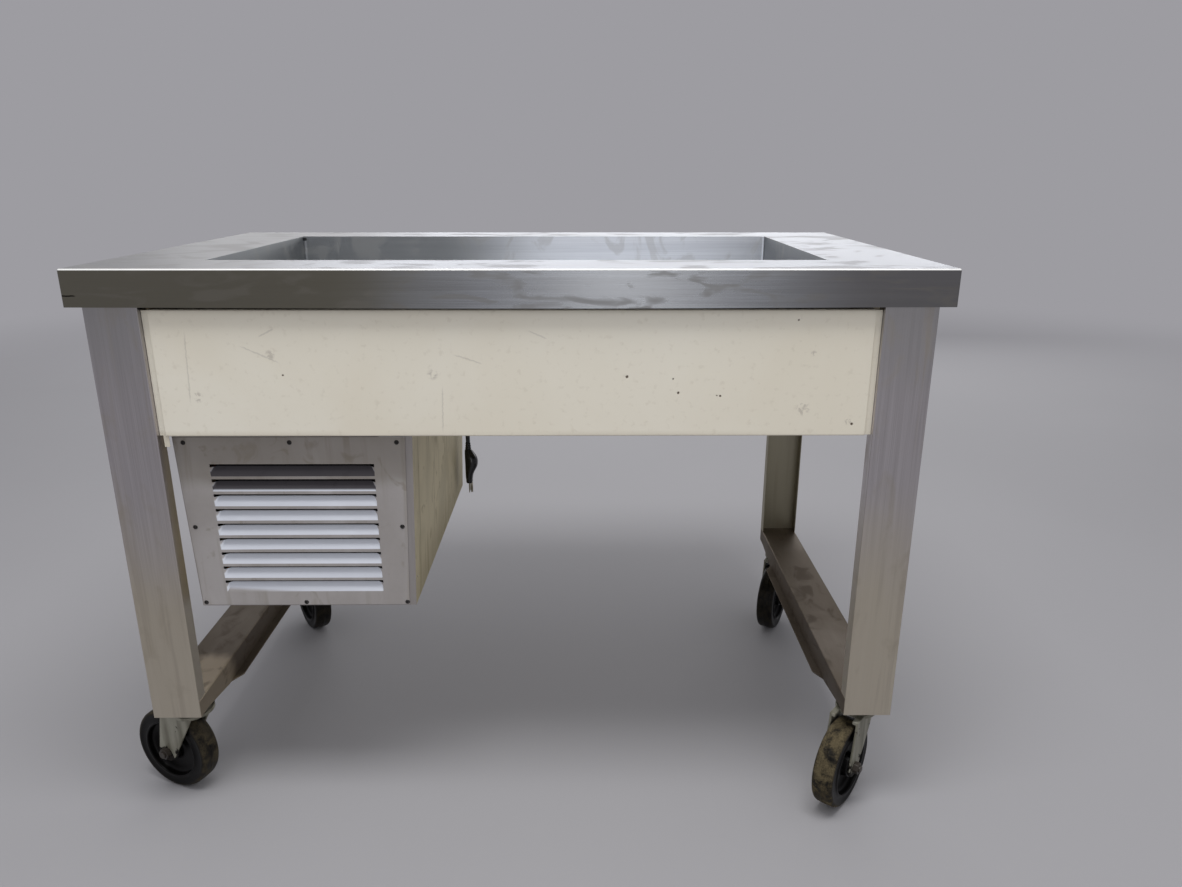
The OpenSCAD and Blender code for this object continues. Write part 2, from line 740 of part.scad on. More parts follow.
// The fixed part of a caster: top plate, raceway and riveted kingpin
module caster_head(c) {
    race_low = race_gap_z + swing;
    rivet_z = crown_bottom - swing - rivet_t;
    color(zinc) translate([c[0] * leg_x, 0, 0]) difference() {
        union() {
            translate([0, c[1] * plate_y, 0]) block([-plate_w / 2, -caster_plate_l / 2, plate_bottom],
                [plate_w / 2, caster_plate_l / 2, caster_h]);
            translate([0, c[1] * caster_y, 0]) {
                translate([0, 0, race_low]) cylinder(r1 = 27, r2 = 30, h = plate_bottom - race_low);
                translate([0, 0, rivet_z]) cylinder(r = kingpin_r, h = caster_h - rivet_z - 1);
                translate([0, 0, rivet_z]) cylinder(r1 = 10, r2 = 12, h = rivet_t);
            }
        }
        translate([0, c[1] * plate_y, 0]) bolt_places() translate([0, 0, plate_bottom - 1])
            cylinder(r = caster_bolt_r + seam, h = caster_plate_t + 2);
    }
}

// Places children at a caster's swivel axis, turned so that +X is its trail
module at_caster(c) {
    translate([c[0] * leg_x, c[1] * caster_y, 0]) rotate([0, 0, c[2]]) children();
}

// Angle round the eye at which a line from (x, z), both from the axle, touches it
function eye_turn(x, z, side) = atan2(z, x) + side * acos(fork_eye_r / norm([x, z]));
function on_eye(turn) = [trail + fork_eye_r * cos(turn), axle_z + fork_eye_r * sin(turn)];

// The pressed fork: a crown with a raised race, and two arms that narrow to the axle
module caster_fork(c) {
    arm_front = -16;
    arm_back = trail + 4;
    bend_z = crown_bottom - 6;
    arm = [[arm_front, crown_top], [arm_front, bend_z],
        on_eye(eye_turn(arm_front - trail, bend_z - axle_z, 1)),
        on_eye(eye_turn(arm_back - trail, bend_z - axle_z, -1)),
        [arm_back, bend_z], [arm_back, crown_top]];
    color(zinc) at_caster(c) difference() {
        union() {
            translate([0, 0, crown_bottom]) cylinder(r = fork_crown_r, h = crown_top - crown_bottom);
            block([arm_front, -fork_outer, crown_bottom], [arm_back, fork_outer, crown_top]);
            translate([0, 0, crown_top - 1]) cylinder(r1 = 31, r2 = 28, h = race_gap_z - crown_top + 1);
            for (y = [-fork_inner, fork_outer]) translate([0, y, 0]) rotate([90, 0, 0]) {
                linear_extrude(fork_sheet) polygon(arm);
                translate([trail, axle_z, 0]) cylinder(r = fork_eye_r, h = fork_sheet);
            }
        }
        translate([0, 0, crown_bottom - 1]) cylinder(r = kingpin_r + running, h = 20);
        translate([trail, fork_outer + 1, axle_z]) rotate([90, 0, 0])
            cylinder(r = axle_r + seam, h = 2 * fork_outer + 2);
        // Opening in the crown over the wheel
        block([fork_crown_r - 2, -fork_inner + 6, crown_bottom - 1],
            [arm_back + 1, fork_inner - 6, crown_top + 1]);
    }
}

// The axle bolt, its nut and the sleeve that it clamps between the fork's arms
module caster_axle(c) {
    head_h = 7;
    nut_h = 9;
    side = fork_outer + seam;
    color(zinc) at_caster(c) translate([trail, 0, axle_z]) rotate([90, 0, 0]) {
        translate([0, 0, side]) hexagon(18, head_h);
        translate([0, 0, -side - nut_h - 3]) cylinder(r = axle_r, h = 2 * side + nut_h + 4);
        translate([0, 0, -side - nut_h]) difference() {
            hexagon(18, nut_h);
            translate([0, 0, -1]) cylinder(r = axle_r + running, h = nut_h + 2);
        }
        translate([0, 0, -fork_inner + seam]) difference() {
            cylinder(r = sleeve_r, h = 2 * (fork_inner - seam));
            translate([0, 0, -1]) cylinder(r = axle_r + running, h = 2 * fork_inner + 2);
        }
    }
}

// The moulded wheel: rounded tread, a lip round each side, a sunk web and a hub
module caster_wheel(c) {
    rim_t = 24;
    rim_r = axle_z - rim_t;
    shoulder = 7;
    web_half = 7;
    lip_r = 2.4;
    hub_t = 12;
    color(black) at_caster(c) translate([trail, 0, axle_z]) rotate([90, 0, 0]) rotate_extrude($fn = 96) {
        translate([rim_r, -tread_w / 2]) square([axle_z - shoulder - rim_r, tread_w]);
        translate([rim_r, -tread_w / 2 + shoulder])
            square([axle_z - rim_r, tread_w - 2 * shoulder]);
        for (z = [-1, 1]) {
            translate([axle_z - shoulder, z * (tread_w / 2 - shoulder)]) circle(r = shoulder);
            translate([rim_r, z * (tread_w / 2 - lip_r / 2)]) circle(r = lip_r);
        }
        translate([sleeve_r + hub_t - 4, -web_half])
            square([rim_r - sleeve_r - hub_t + 5, 2 * web_half]);
        translate([sleeve_r + running, -hub_half]) square([hub_t, 2 * hub_half]);
    }
}

module caster_fl_head() { caster_head(CORNERS[0]); }
module caster_fl_fork() { caster_fork(CORNERS[0]); }
module caster_fl_axle() { caster_axle(CORNERS[0]); }
module caster_fl_wheel() { caster_wheel(CORNERS[0]); }
module caster_fr_head() { caster_head(CORNERS[1]); }
module caster_fr_fork() { caster_fork(CORNERS[1]); }
module caster_fr_axle() { caster_axle(CORNERS[1]); }
module caster_fr_wheel() { caster_wheel(CORNERS[1]); }
module caster_rl_head() { caster_head(CORNERS[2]); }
module caster_rl_fork() { caster_fork(CORNERS[2]); }
module caster_rl_axle() { caster_axle(CORNERS[2]); }
module caster_rl_wheel() { caster_wheel(CORNERS[2]); }
module caster_rr_head() { caster_head(CORNERS[3]); }
module caster_rr_fork() { caster_fork(CORNERS[3]); }
module caster_rr_axle() { caster_axle(CORNERS[3]); }
module caster_rr_wheel() { caster_wheel(CORNERS[3]); }

// ---- Machine housing ----

// How far the housing's sides have leant in at a height
function lean(z) = housing_taper * (housing_top - z) / housing_h;

// Part of the housing's outline from the front, by its distances from the leaning sides
module front_outline(left_in, right_in, low, high) {
    polygon([[housing_left + lean(low) + left_in, low], [housing_right - lean(low) - right_in, low],
        [housing_right - lean(high) - right_in, high], [housing_left + lean(high) + left_in, high]]);
}

// Runs an outline in X and Z from one Y to another
module along_y(from, to) {
    translate([0, to, 0]) rotate([90, 0, 0]) linear_extrude(to - from) children();
}

// A wrapper of sheet, open at the front and back, with flanges that the panels screw to
module housing_shell() {
    t = housing_sheet;
    f = housing_flange;
    color(galvanised) difference() {
        union() {
            difference() {
                along_y(shell_front, shell_back) front_outline(0, 0, housing_bottom, housing_top);
                along_y(shell_front - 1, shell_back + 1)
                    front_outline(t, t, housing_bottom + t, housing_top - t);
            }
            for (y = [shell_front, shell_back - t]) difference() {
                along_y(y, y + t) front_outline(0, 0, housing_bottom, housing_top);
                along_y(y - 1, y + t + 1) front_outline(f, panel_margin + f,
                    housing_bottom + lower_flange, housing_top - f);
            }
        }
        screw_places() translate([0, -1, 0]) rotate([-90, 0, 0])
            cylinder(r = screw_r + seam, h = housing_sheet + 4, $fn = 24);
        // Holes for the pipes and the strain relief in the top, and one in the right side
        for (p = [[stub_x, suction_y, suction_r], [side_pipe_x, drier_y, line_r]])
            translate([p[0], p[1], housing_top - 3]) cylinder(r = p[2] + pass, h = 5);
        translate(relief - [0, 0, 3]) cylinder(r = relief_neck_r() + seam, h = 5);
        translate([housing_right - housing_taper - 3, housing_front + 14, housing_bottom + 44])
            rotate([0, 90, 0]) cylinder(r = 2.5, h = housing_taper + 5, $fn = 24);
    }
}

function relief_neck_r() = cord_d / 2 + 4.5;

// Places children at each screw, on the front flange and on the back one
module screw_places() {
    for (i = [0 : 2]) for (j = [0 : 2]) if (i != 1 || j != 1) {
        translate([SCREW_X[i], shell_front, SCREW_Z[j]]) children();
        translate([SCREW_X[i], shell_back, SCREW_Z[j]]) mirror([0, 1, 0]) children();
    }
}

// One louvre pressed in towards +Y, its lower edge on the line z = 0 of the panel's face
module louvre() {
    t = housing_sheet;
    lip_z = louvre_h - louvre_slot;
    slope = louvre_depth / lip_z;
    difference() {
        louvre_form(0, [[0, 0], [0, lip_z], [slope * lip_z + t, lip_z], [t, 0]], t);
        louvre_form(-1, [[-1, 0], [0, 0], [slope * (lip_z + 1), lip_z + 1], [-1, lip_z + 1]], 0);
    }
}

// A louvre's section, by its points in Y and Z, run along X between tapering ends
module louvre_form(front, section, extra) {
    half = louvre_l / 2 + extra;
    back = louvre_depth + 2 * housing_sheet;
    cut = louvre_taper * back / louvre_depth;
    intersection() {
        rotate([90, 0, 90]) translate([0, 0, -half]) linear_extrude(2 * half) polygon(section);
        translate([0, 0, -1]) linear_extrude(louvre_h + 2) polygon([[-half, front], [half, front],
            [half, 0], [half - cut, back], [-half + cut, back], [-half, 0]]);
    }
}

// Places children at each louvre of a panel
module louvre_rows() {
    for (i = [0 : louvre_n - 1])
        translate([panel_left + louvre_margin + louvre_l / 2, 0,
            housing_top - louvre_drop - louvre_h - i * louvre_pitch]) children();
}

// A flat panel with its face on y = 0 and its louvres pressed in towards +Y
module louvre_panel() {
    difference() {
        along_y(0, housing_sheet) front_outline(panel_edge, panel_margin, panel_low, panel_high);
        louvre_rows() block([-louvre_l / 2, -1, 0], [louvre_l / 2, housing_sheet + 1, louvre_h]);
        for (i = [0 : 2]) for (j = [0 : 2]) if (i != 1 || j != 1)
            translate([SCREW_X[i], -1, SCREW_Z[j]]) rotate([-90, 0, 0])
                cylinder(r = screw_r + seam, h = housing_sheet + 2, $fn = 24);
    }
    louvre_rows() louvre();
}

module front_louvre_panel() {
    color(galvanised) translate([0, housing_front, 0]) louvre_panel();
}

module rear_louvre_panel() {
    color(galvanised) translate([0, housing_back, 0]) mirror([0, 1, 0]) louvre_panel();
}

module panel_screws() {
    color(black) screw_places() translate([0, -housing_sheet - 2 * seam, 0]) {
        rotate([90, 0, 0]) cylinder(r1 = screw_r + 1.7, r2 = screw_r + 0.6, h = 1.6, $fn = 24);
        rotate([-90, 0, 0]) cylinder(r = screw_r, h = 7, $fn = 24);
    }
}

// Four brackets that hang the housing from the pan's jacket
module housing_hangers() {
    foot = 25;
    t = 2.5;
    wide = 30;
    low = housing_top + seam;
    high = jacket_bottom - seam;
    section = [[0, low], [foot, low], [foot, low + t], [t, low + t], [t, high - t], [foot, high - t],
        [foot, high], [0, high]];
    left = max(housing_left + 4, -jacket_w / 2 + 4);
    back_y = housing_back - 44;
    front_y = -jacket_d / 2 + 4;
    color(galvanised) for (y = [front_y, back_y]) {
        translate([left, y + wide, 0]) rotate([90, 0, 0]) linear_extrude(wide) polygon(section);
        translate([housing_right - 8, y, 0]) rotate([90, 0, 180]) linear_extrude(wide)
            polygon(section);
    }
}

// ---- Condensing unit ----

module unit_base() {
    inset = housing_taper + 4;
    lip = 12;
    color(galvanised) difference() {
        block([housing_left + inset, shell_front + housing_flange + 2, base_z],
            [housing_right - inset, shell_back - housing_flange - 2, base_z + lip]);
        block([housing_left + inset + base_t, shell_front + housing_flange, base_top],
            [housing_right - inset - base_t, shell_back - housing_flange, base_z + lip + 1]);
        for (x = [-1, 1]) for (y = [-1, 1])
            translate([comp_x + x * foot_dx, comp_y + y * foot_dy, base_z - 1])
                cylinder(r = mount_bolt_r + seam, h = base_t + 2);
    }
}

// Outline of half a round-edged can, for turning
module can_profile(r, h, edge) {
    square([r - edge, h]);
    translate([0, edge]) square([r, h - 2 * edge]);
    for (z = [edge, h - edge]) translate([r - edge, z]) intersection() {
        circle(r = edge);
        square(2 * edge, center = true);
    }
}

module compressor() {
    edge = 36;
    stub_low = comp_top - 16;
    color(black) difference() {
        union() {
            translate([comp_x, comp_y, comp_z]) {
                rotate_extrude($fn = 72) can_profile(comp_r, comp_h, edge);
                translate([0, 0, comp_h * 0.56]) cylinder(r = comp_r + 4, h = 5, $fn = 72);
                cylinder(r = comp_r * 0.62, h = edge);
            }
            for (y = [-1, 1]) translate([comp_x, comp_y + y * foot_dy, comp_foot_z])
                block([-foot_dx - 14, -13, 0], [foot_dx + 14, 13, comp_foot_t + 4]);
            translate([stub_x, suction_y, stub_low]) cylinder(r = suction_r + 1.5, h = stub_top
                - stub_low);
            translate([stub_x, discharge_y, stub_low]) cylinder(r = line_r + 1.5, h = stub_top
                - stub_low);
        }
        for (x = [-1, 1]) for (y = [-1, 1])
            translate([comp_x + x * foot_dx, comp_y + y * foot_dy, comp_foot_z - 1])
                cylinder(r = mount_bolt_r + seam, h = comp_foot_t + 6);
    }
}

// Rubber sleeves under the compressor's feet, each with its bolt
module compressor_mounts() {
    bolt_top = comp_foot_z + comp_foot_t + 4;
    for (x = [-1, 1]) for (y = [-1, 1])
        translate([comp_x + x * foot_dx, comp_y + y * foot_dy, 0]) {
            color(black) difference() {
                translate([0, 0, base_top + seam])
                    cylinder(r = 11, h = comp_foot_z - base_top - 2 * seam);
                translate([0, 0, base_top - 1])
                    cylinder(r = mount_bolt_r + seam, h = comp_foot_z - base_top + 2);
            }
            color(zinc) {
                translate([0, 0, base_z + 0.2]) cylinder(r = mount_bolt_r, h = bolt_top - base_z + 6);
                translate([0, 0, bolt_top + seam]) hexagon(11, 5);
            }
        }
}

module terminal_box() {
    color(black) translate([comp_x + comp_r + 0.2, comp_y - 30, comp_z + 24]) cube([30, 60, 66]);
}

// Fins between two end plates, threaded on a tube that runs to and fro
module condenser_coil() {
    fin_n = floor((cond_w - 8) / fin_pitch);
    fin_t = 0.6;
    turn_x = cond_end + cond_pitch / 2;
    runs = [for (i = [0 : cond_runs - 1]) let (z = cond_high_run - cond_pitch * i)
        each (i % 2 == 0 ? [[i == 0 ? -cond_end : -turn_x, 0, z], [turn_x, 0, z]]
            : [[turn_x, 0, z], [i == cond_runs - 1 ? -cond_end : -turn_x, 0, z]])];
    translate([housing_x, cond_mid_y, 0]) {
        color([0.55, 0.56, 0.57]) {
            for (i = [0 : fin_n]) translate([(i - fin_n / 2) * fin_pitch - fin_t / 2, 0, cond_z])
                translate([0, -cond_d / 2 + 2, 2]) cube([fin_t, cond_d - 4, cond_h - 4]);
            for (x = [-cond_w / 2, cond_w / 2 - 1.5])
                block([x, -cond_d / 2, cond_z], [x + 1.5, cond_d / 2, cond_z + cond_h]);
        }
        color(copper) pipe(runs, suction_r, cond_pitch / 2);
    }
}

// A plate behind the condenser with the ring that the fan turns in
module fan_shroud() {
    color(black) difference() {
        union() {
            block([housing_x - cond_w / 2, shroud_y, cond_z],
                [housing_x + cond_w / 2, shroud_y + shroud_t, cond_z + cond_h]);
            translate([housing_x, shroud_y, fan_z]) rotate([-90, 0, 0])
                cylinder(r = orifice_r + 1.5, h = orifice_depth, $fn = 96);
        }
        translate([housing_x, shroud_y - 1, fan_z]) rotate([-90, 0, 0])
            cylinder(r = orifice_r, h = orifice_depth + 2, $fn = 96);
    }
}

// The motor, its shaft and the four-armed bracket that carries it on the shroud
module fan_motor() {
    post = 7;
    post_x = cond_w / 2 - 12;
    post_z = cond_h / 2 - 12;
    arm = norm([post_x, post_z]);
    turn = atan2(post_z, post_x);
    translate([housing_x, 0, fan_z]) {
        color([0.2, 0.2, 0.22]) translate([0, motor_y, 0]) rotate([-90, 0, 0]) {
            cylinder(r = motor_r - 4, h = motor_l);
            translate([0, 0, 8]) cylinder(r = motor_r, h = motor_l - 16);
            translate([0, 0, fan_y - motor_y - 2]) cylinder(r = fan_shaft_r, h = motor_y - fan_y + 4);
        }
        color(zinc) for (s = [-1, 1]) rotate([0, s * turn, 0])
            block([-arm, bracket_y, -post], [arm, bracket_y + 2, post]);
        color(zinc) for (x = [-post_x, post_x]) for (z = [-post_z, post_z])
            translate([x, 0, z]) block([-post, shroud_y + shroud_t + seam, -post],
                [post, bracket_y + 2, post]);
    }
}

// Curved blades on a hub. The axis is along Y
module fan_blade() {
    chord = 66;
    camber_r = 90;
    blade_t = 1.6;
    pitch = 28;
    mid_y = fan_y + fan_hub_l / 2;
    color([0.62, 0.63, 0.65]) translate([housing_x, mid_y, fan_z]) rotate([-90, 0, 0]) difference() {
        union() {
            translate([0, 0, -fan_hub_l / 2]) cylinder(r = fan_hub_r, h = fan_hub_l);
            intersection() {
                translate([0, 0, -20]) cylinder(r = fan_r, h = 40, $fn = 96);
                for (i = [0 : fan_blades - 1]) rotate([0, 0, i * 360 / fan_blades])
                    translate([fan_hub_r - 4, 0, 0]) rotate([pitch, 0, 0]) rotate([0, 90, 0])
                    linear_extrude(fan_r) blade_section(chord * 0.62, camber_r, blade_t);
            }
        }
        translate([0, 0, -fan_hub_l]) cylinder(r = fan_shaft_r + running, h = 2 * fan_hub_l);
    }
}

// A thin arc of a given chord, its middle at the origin
module blade_section(chord, r, t) {
    intersection() {
        translate([r, 0]) difference() {
            circle(r = r + t / 2, $fn = 96);
            circle(r = r - t / 2, $fn = 96);
        }
        square([60, chord], center = true);
    }
}

module filter_drier() {
    neck = 14;
    color(copper) translate([side_pipe_x, drier_y, drier_z]) {
        cylinder(r1 = line_r + 1, r2 = drier_r, h = neck);
        translate([0, 0, neck]) cylinder(r = drier_r, h = drier_l - 2 * neck);
        translate([0, 0, drier_l - neck]) cylinder(r1 = drier_r, r2 = line_r + 1, h = neck);
    }
}

module refrigerant_lines() {
    end_x = housing_x - cond_end - seam;
    over_z = stub_top + discharge_rise;
    // Compressor to condenser
    discharge = [[stub_x, discharge_y, stub_top + seam], [stub_x, discharge_y, over_z],
        [side_pipe_x, discharge_y, over_z], [side_pipe_x, cond_mid_y, over_z],
        [side_pipe_x, cond_mid_y, cond_high_run], [end_x, cond_mid_y, cond_high_run]];
    // Condenser to drier
    liquid = [[end_x, cond_mid_y, cond_low_run], [side_pipe_x, cond_mid_y, cond_low_run],
        [side_pipe_x, drier_y, cond_low_run], [side_pipe_x, drier_y, drier_z - seam]];
    // Drier to evaporator
    feed = [[side_pipe_x, drier_y, drier_z + drier_l + seam], [side_pipe_x, drier_y, gap_pipe_z],
        [evap_left, drier_y, gap_pipe_z], [evap_left, evap_low_y, gap_pipe_z],
        [evap_left, evap_low_y, evap_end_z - seam]];
    // Evaporator to compressor
    suction = [[stub_x, suction_y, stub_top + seam], [stub_x, suction_y, gap_pipe_z],
        [evap_left, suction_y, gap_pipe_z], [evap_left, -evap_low_y, gap_pipe_z],
        [evap_left, -evap_low_y, evap_end_z - seam]];
    color(copper) {
        pipe(discharge, line_r, pipe_bend);
        pipe(liquid, line_r, pipe_bend);
        pipe(feed, line_r, pipe_bend);
        pipe(suction, suction_r, pipe_bend);
    }
}

module thermostat_box() {
    color([0.75, 0.75, 0.74]) difference() {
        block([thermo_x, thermo_y, thermo_z],
            [thermo_x + thermo_w, thermo_y + thermo_d, thermo_z + thermo_h]);
        translate([thermo_x + thermo_w / 2, thermo_y + thermo_d - 12, thermo_z + thermo_h / 2])
            rotate([-90, 0, 0]) cylinder(r = knob_shaft_r + running, h = 13);
    }
}

module thermostat_knob() {
    pointer = 3;
    color(black) translate([thermo_x + thermo_w / 2, thermo_y + thermo_d, thermo_z + thermo_h / 2])
        rotate([-90, 0, 0]) {
            translate([0, 0, -11]) cylinder(r = knob_shaft_r, h = 12);
            translate([0, 0, swing]) cylinder(r1 = knob_r, r2 = knob_r - 2, h = knob_l - 4);
            translate([0, 0, swing]) linear_extrude(knob_l)
                square([pointer * 2, 2 * knob_r - 6], center = true);
        }
}

// ---- Drain ----

module drain_pipe() {
    flange_r = drain_r + 12;
    low = valve_top + seam;
    color(bright_steel) translate([drain_x, 0, 0]) difference() {
        union() {
            translate([0, 0, low]) cylinder(r = drain_r, h = pan_floor - low + 1);
            translate([0, 0, pan_floor + seam]) cylinder(r1 = flange_r, r2 = flange_r - 1.5, h = 1.6);
        }
        translate([0, 0, low - 1]) cylinder(r = drain_bore, h = pan_floor - low - 2);
        // Strainer holes
        for (i = [0 : 5]) rotate([0, 0, i * 60]) translate([drain_bore * 0.62, 0, pan_floor - 8])
            cylinder(r = 2.6, h = 20, $fn = 24);
    }
}

module drain_valve() {
    color([0.78, 0.62, 0.32]) translate([drain_x, 0, valve_z]) difference() {
        union() {
            sphere(r = valve_r);
            for (z = [-valve_half, valve_half - valve_nut_h])
                translate([0, 0, z]) hexagon(2 * (drain_r + 4), valve_nut_h);
            translate([0, 0, -valve_half - outlet_l]) cylinder(r = drain_r, h = 2 * outlet_l);
            rotate([90, 0, 0]) cylinder(r = stem_r + 5, h = gland_l);
        }
        sphere(r = ball_r + 0.2);
        translate([0, 0, -valve_half - outlet_l - 1])
            cylinder(r = drain_bore, h = 2 * valve_half + outlet_l + 2);
        rotate([90, 0, 0]) cylinder(r = stem_r + running, h = gland_l + 1);
    }
}

// The lever, its stem and the bored ball that they turn. Closed, the lever lies along X
module drain_lever() {
    stem_end = gland_l + 8;
    handle_t = 3;
    handle_w = 16;
    boss_r = 12;
    color([0.62, 0.10, 0.08]) translate([drain_x, 0, valve_z]) difference() {
        union() {
            sphere(r = ball_r);
            rotate([90, 0, 0]) cylinder(r = stem_r, h = stem_end);
            translate([0, -gland_l - 1, 0]) rotate([90, 0, 0]) {
                cylinder(r = boss_r, h = handle_t);
                translate([0, -handle_w / 2, 0]) cube([lever_l - handle_w / 2, handle_w, handle_t]);
                translate([lever_l - handle_w / 2, 0, 0]) cylinder(r = handle_w / 2, h = handle_t);
            }
        }
        rotate([0, 90, 0]) cylinder(r = drain_bore - 2, h = 4 * ball_r, center = true);
    }
}

// ---- Cord ----

// A tapered grommet in the housing's top, clipped from below
module strain_relief() {
    clip_h = 6;
    color(black) translate(relief) {
        translate([0, 0, seam]) cylinder(r = relief_neck_r() + 4, h = 4);
        translate([0, 0, 3]) cylinder(r1 = relief_neck_r(), r2 = cord_d / 2 + 0.8, h = relief_h - 3);
        translate([0, 0, -clip_h]) cylinder(r = relief_neck_r(), h = clip_h + 2);
        translate([0, 0, -clip_h]) cylinder(r = relief_neck_r() + 3, h = clip_h - housing_sheet - seam);
    }
}

module power_cord_lead() {
    color(black) swept(LEAD_ROUTE, cord_d / 2, CORD_SIDES, [0, 1, 0]);
}

module power_cord_drop() {
    color(black) swept(DROP_ROUTE, cord_d / 2, CORD_SIDES, [0, 1, 0]);
}

module power_cord_coil() {
    color(black) swept(coil_path, cord_d / 2, COIL_SIDES, [0, 0, 1]);
}

// A band drawn round the coil's turns at its right side, with its lock
module cord_tie() {
    in_r = coil_out_r - coil_pitch * coil_turns / 2 - cord_d / 2 - 1;
    out_r = coil_out_r + cord_d / 2 + 0.6;
    low = coil_low_z - cord_d / 2 - 0.1;
    high = coil_low_z + coil_layer + cord_d / 2 + 0.1;
    wide = 5;
    color(black) translate([coil_x, coil_y, 0]) {
        difference() {
            block([in_r - tie_t, -wide / 2, low - tie_t], [out_r + tie_t, wide / 2, high + tie_t]);
            block([in_r, -wide / 2 - 1, low], [out_r, wide / 2 + 1, high]);
        }
        block([out_r - 12, -wide / 2 - 1, high + tie_t / 2], [out_r - 5, wide / 2 + 1, high + 5]);
    }
}

// The moulded plug hangs from the cord with its blades down, its grip bulging to the right
module power_plug() {
    relief_l = 28;
    grip_l = 54;
    face_l = 8;
    blade_l = 22;
    bulge = 8.5;
    body_end = relief_l + grip_l + face_l;
    color(black) translate(plug_place) {
        translate([0, 0, -relief_l]) cylinder(r1 = 8, r2 = 5.6, h = relief_l);
        hull() {
            translate([0, 0, -relief_l - 2]) cylinder(r = 8, h = 4, $fn = 32);
            translate([bulge, 0, -relief_l - grip_l / 2]) spread_y() cylinder(r = 11, h = 8, $fn = 32);
            translate([0, 0, -relief_l - grip_l]) spread_y() cylinder(r = 8, h = grip_l, $fn = 32);
        }
        translate([0, 0, -body_end]) linear_extrude(face_l + 1) hull() spread_y() circle(r = 7);
    }
    color(bright_steel) translate([plug_place.x, plug_place.y, plug_place.z - body_end - blade_l]) {
        for (y = [-6.35, 6.35]) block([-0.8, y - 3.1, 0], [0.8, y + 3.1, blade_l + 2]);
        translate([4.5, 0, -2]) cylinder(r = 2.4, h = blade_l + 4);
    }
}

// Copies its children to both sides along Y
module spread_y() {
    for (y = [-5, 5]) translate([0, y, 0]) children();
}

worktop();
cold_pan();
pan_insulation();
pan_jacket();
front_apron();
rear_apron();
left_apron();
right_apron();
leg_front_left();
leg_front_right();
leg_rear_left();
leg_rear_right();
rail_left();
rail_right();
deck_channels();
caster_mount_plates();
caster_bolts();
housing_shell();
front_louvre_panel();
rear_louvre_panel();
panel_screws();
housing_hangers();
unit_base();
compressor();
compressor_mounts();
terminal_box();
condenser_coil();
fan_shroud();
fan_motor();
fan_blade();
filter_drier();
refrigerant_lines();
evaporator_tube();
thermostat_box();
thermostat_knob();
drain_pipe();
drain_valve();
drain_lever();
strain_relief();
power_cord_lead();
power_cord_coil();
power_cord_drop();
cord_tie();
power_plug();
caster_fl_head();
caster_fl_fork();
caster_fl_axle();
caster_fl_wheel();
caster_fr_head();
caster_fr_fork();
caster_fr_axle();
caster_fr_wheel();
caster_rl_head();
caster_rl_fork();
caster_rl_axle();
caster_rl_wheel();
caster_rr_head();
caster_rr_fork();
caster_rr_axle();
caster_rr_wheel();
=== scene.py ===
"""Looks of the mobile salad bar: sheet steel, enamel, casters, cord and plug on its CAD frame."""
import json
import math

import bpy
import bmesh
from mathutils import Matrix, Vector


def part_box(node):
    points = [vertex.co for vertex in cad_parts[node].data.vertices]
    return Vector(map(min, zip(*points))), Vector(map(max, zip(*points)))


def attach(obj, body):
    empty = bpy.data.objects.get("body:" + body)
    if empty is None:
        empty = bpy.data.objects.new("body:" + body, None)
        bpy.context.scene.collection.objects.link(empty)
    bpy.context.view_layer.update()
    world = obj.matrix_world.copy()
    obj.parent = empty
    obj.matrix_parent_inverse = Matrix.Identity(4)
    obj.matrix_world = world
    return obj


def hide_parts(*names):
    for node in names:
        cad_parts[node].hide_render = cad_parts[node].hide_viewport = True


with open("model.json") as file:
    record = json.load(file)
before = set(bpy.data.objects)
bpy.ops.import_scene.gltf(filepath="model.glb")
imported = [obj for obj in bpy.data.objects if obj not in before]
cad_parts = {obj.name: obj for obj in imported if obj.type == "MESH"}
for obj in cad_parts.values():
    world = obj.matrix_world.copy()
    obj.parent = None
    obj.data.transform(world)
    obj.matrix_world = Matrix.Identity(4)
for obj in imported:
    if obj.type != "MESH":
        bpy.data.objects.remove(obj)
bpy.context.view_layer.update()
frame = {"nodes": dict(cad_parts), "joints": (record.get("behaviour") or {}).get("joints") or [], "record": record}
NODES = frame["nodes"]
MM = 0.001


def linked(name, data):
    """A new object, put in the scene."""
    made = bpy.data.objects.new(name, data)
    bpy.context.scene.collection.objects.link(made)
    return made


# ---- Camera: as solved from the object's corners, in metres, radians and millimetres ----
CAMERA_PLACE = (0.1032, -1.5981, 1.0472)
CAMERA_PITCH = 0.3068
CAMERA_YAW = 0.0074
CAMERA_ROLL = 0.0007
CAMERA_LENS = 26.38
CAMERA_SENSOR = 36


def make_camera():
    """The camera that took the photo."""
    data = bpy.data.cameras.new("camera")
    data.lens = CAMERA_LENS
    data.sensor_width = CAMERA_SENSOR
    camera = linked("camera", data)
    turn = (Matrix.Rotation(-CAMERA_YAW, 4, "Z") @ Matrix.Rotation(math.pi / 2 - CAMERA_PITCH, 4, "X")
            @ Matrix.Rotation(CAMERA_ROLL, 4, "Z"))
    camera.matrix_world = Matrix.Translation(CAMERA_PLACE) @ turn
    bpy.context.scene.camera = camera


# ---- Cord: the same route as in the frame, in metres, from the foot of the strain relief ----
RELIEF = Vector((-0.386, 0.164, 0.661))
CORD_D = 0.009
CORD_LEAD = [RELIEF + Vector((x, 0, z)) * MM for x, z in (
    (0, 22), (0, 31), (5, 49), (18, 62), (36, 67), (53, 63), (67, 52), (75, 37), (81, 23), (94, 11),
    (114, 5.6), (132, 5.6))]
CORD_DROP = [RELIEF + Vector((x, 0, z)) * MM for x, z in (
    (150, 15.2), (177, 15.2), (204, 15.2), (222, 10), (235, -3), (240, -21), (240, -48), (240, -75),
    (240, -102), (240, -129), (240, -155), (240, -169))]
COIL_TURNS = 6
COIL_MID_D = 0.107
COIL_PITCH = 0.0097
COIL_LAYER = 0.0096
COIL_POINTS_PER_TURN = 24


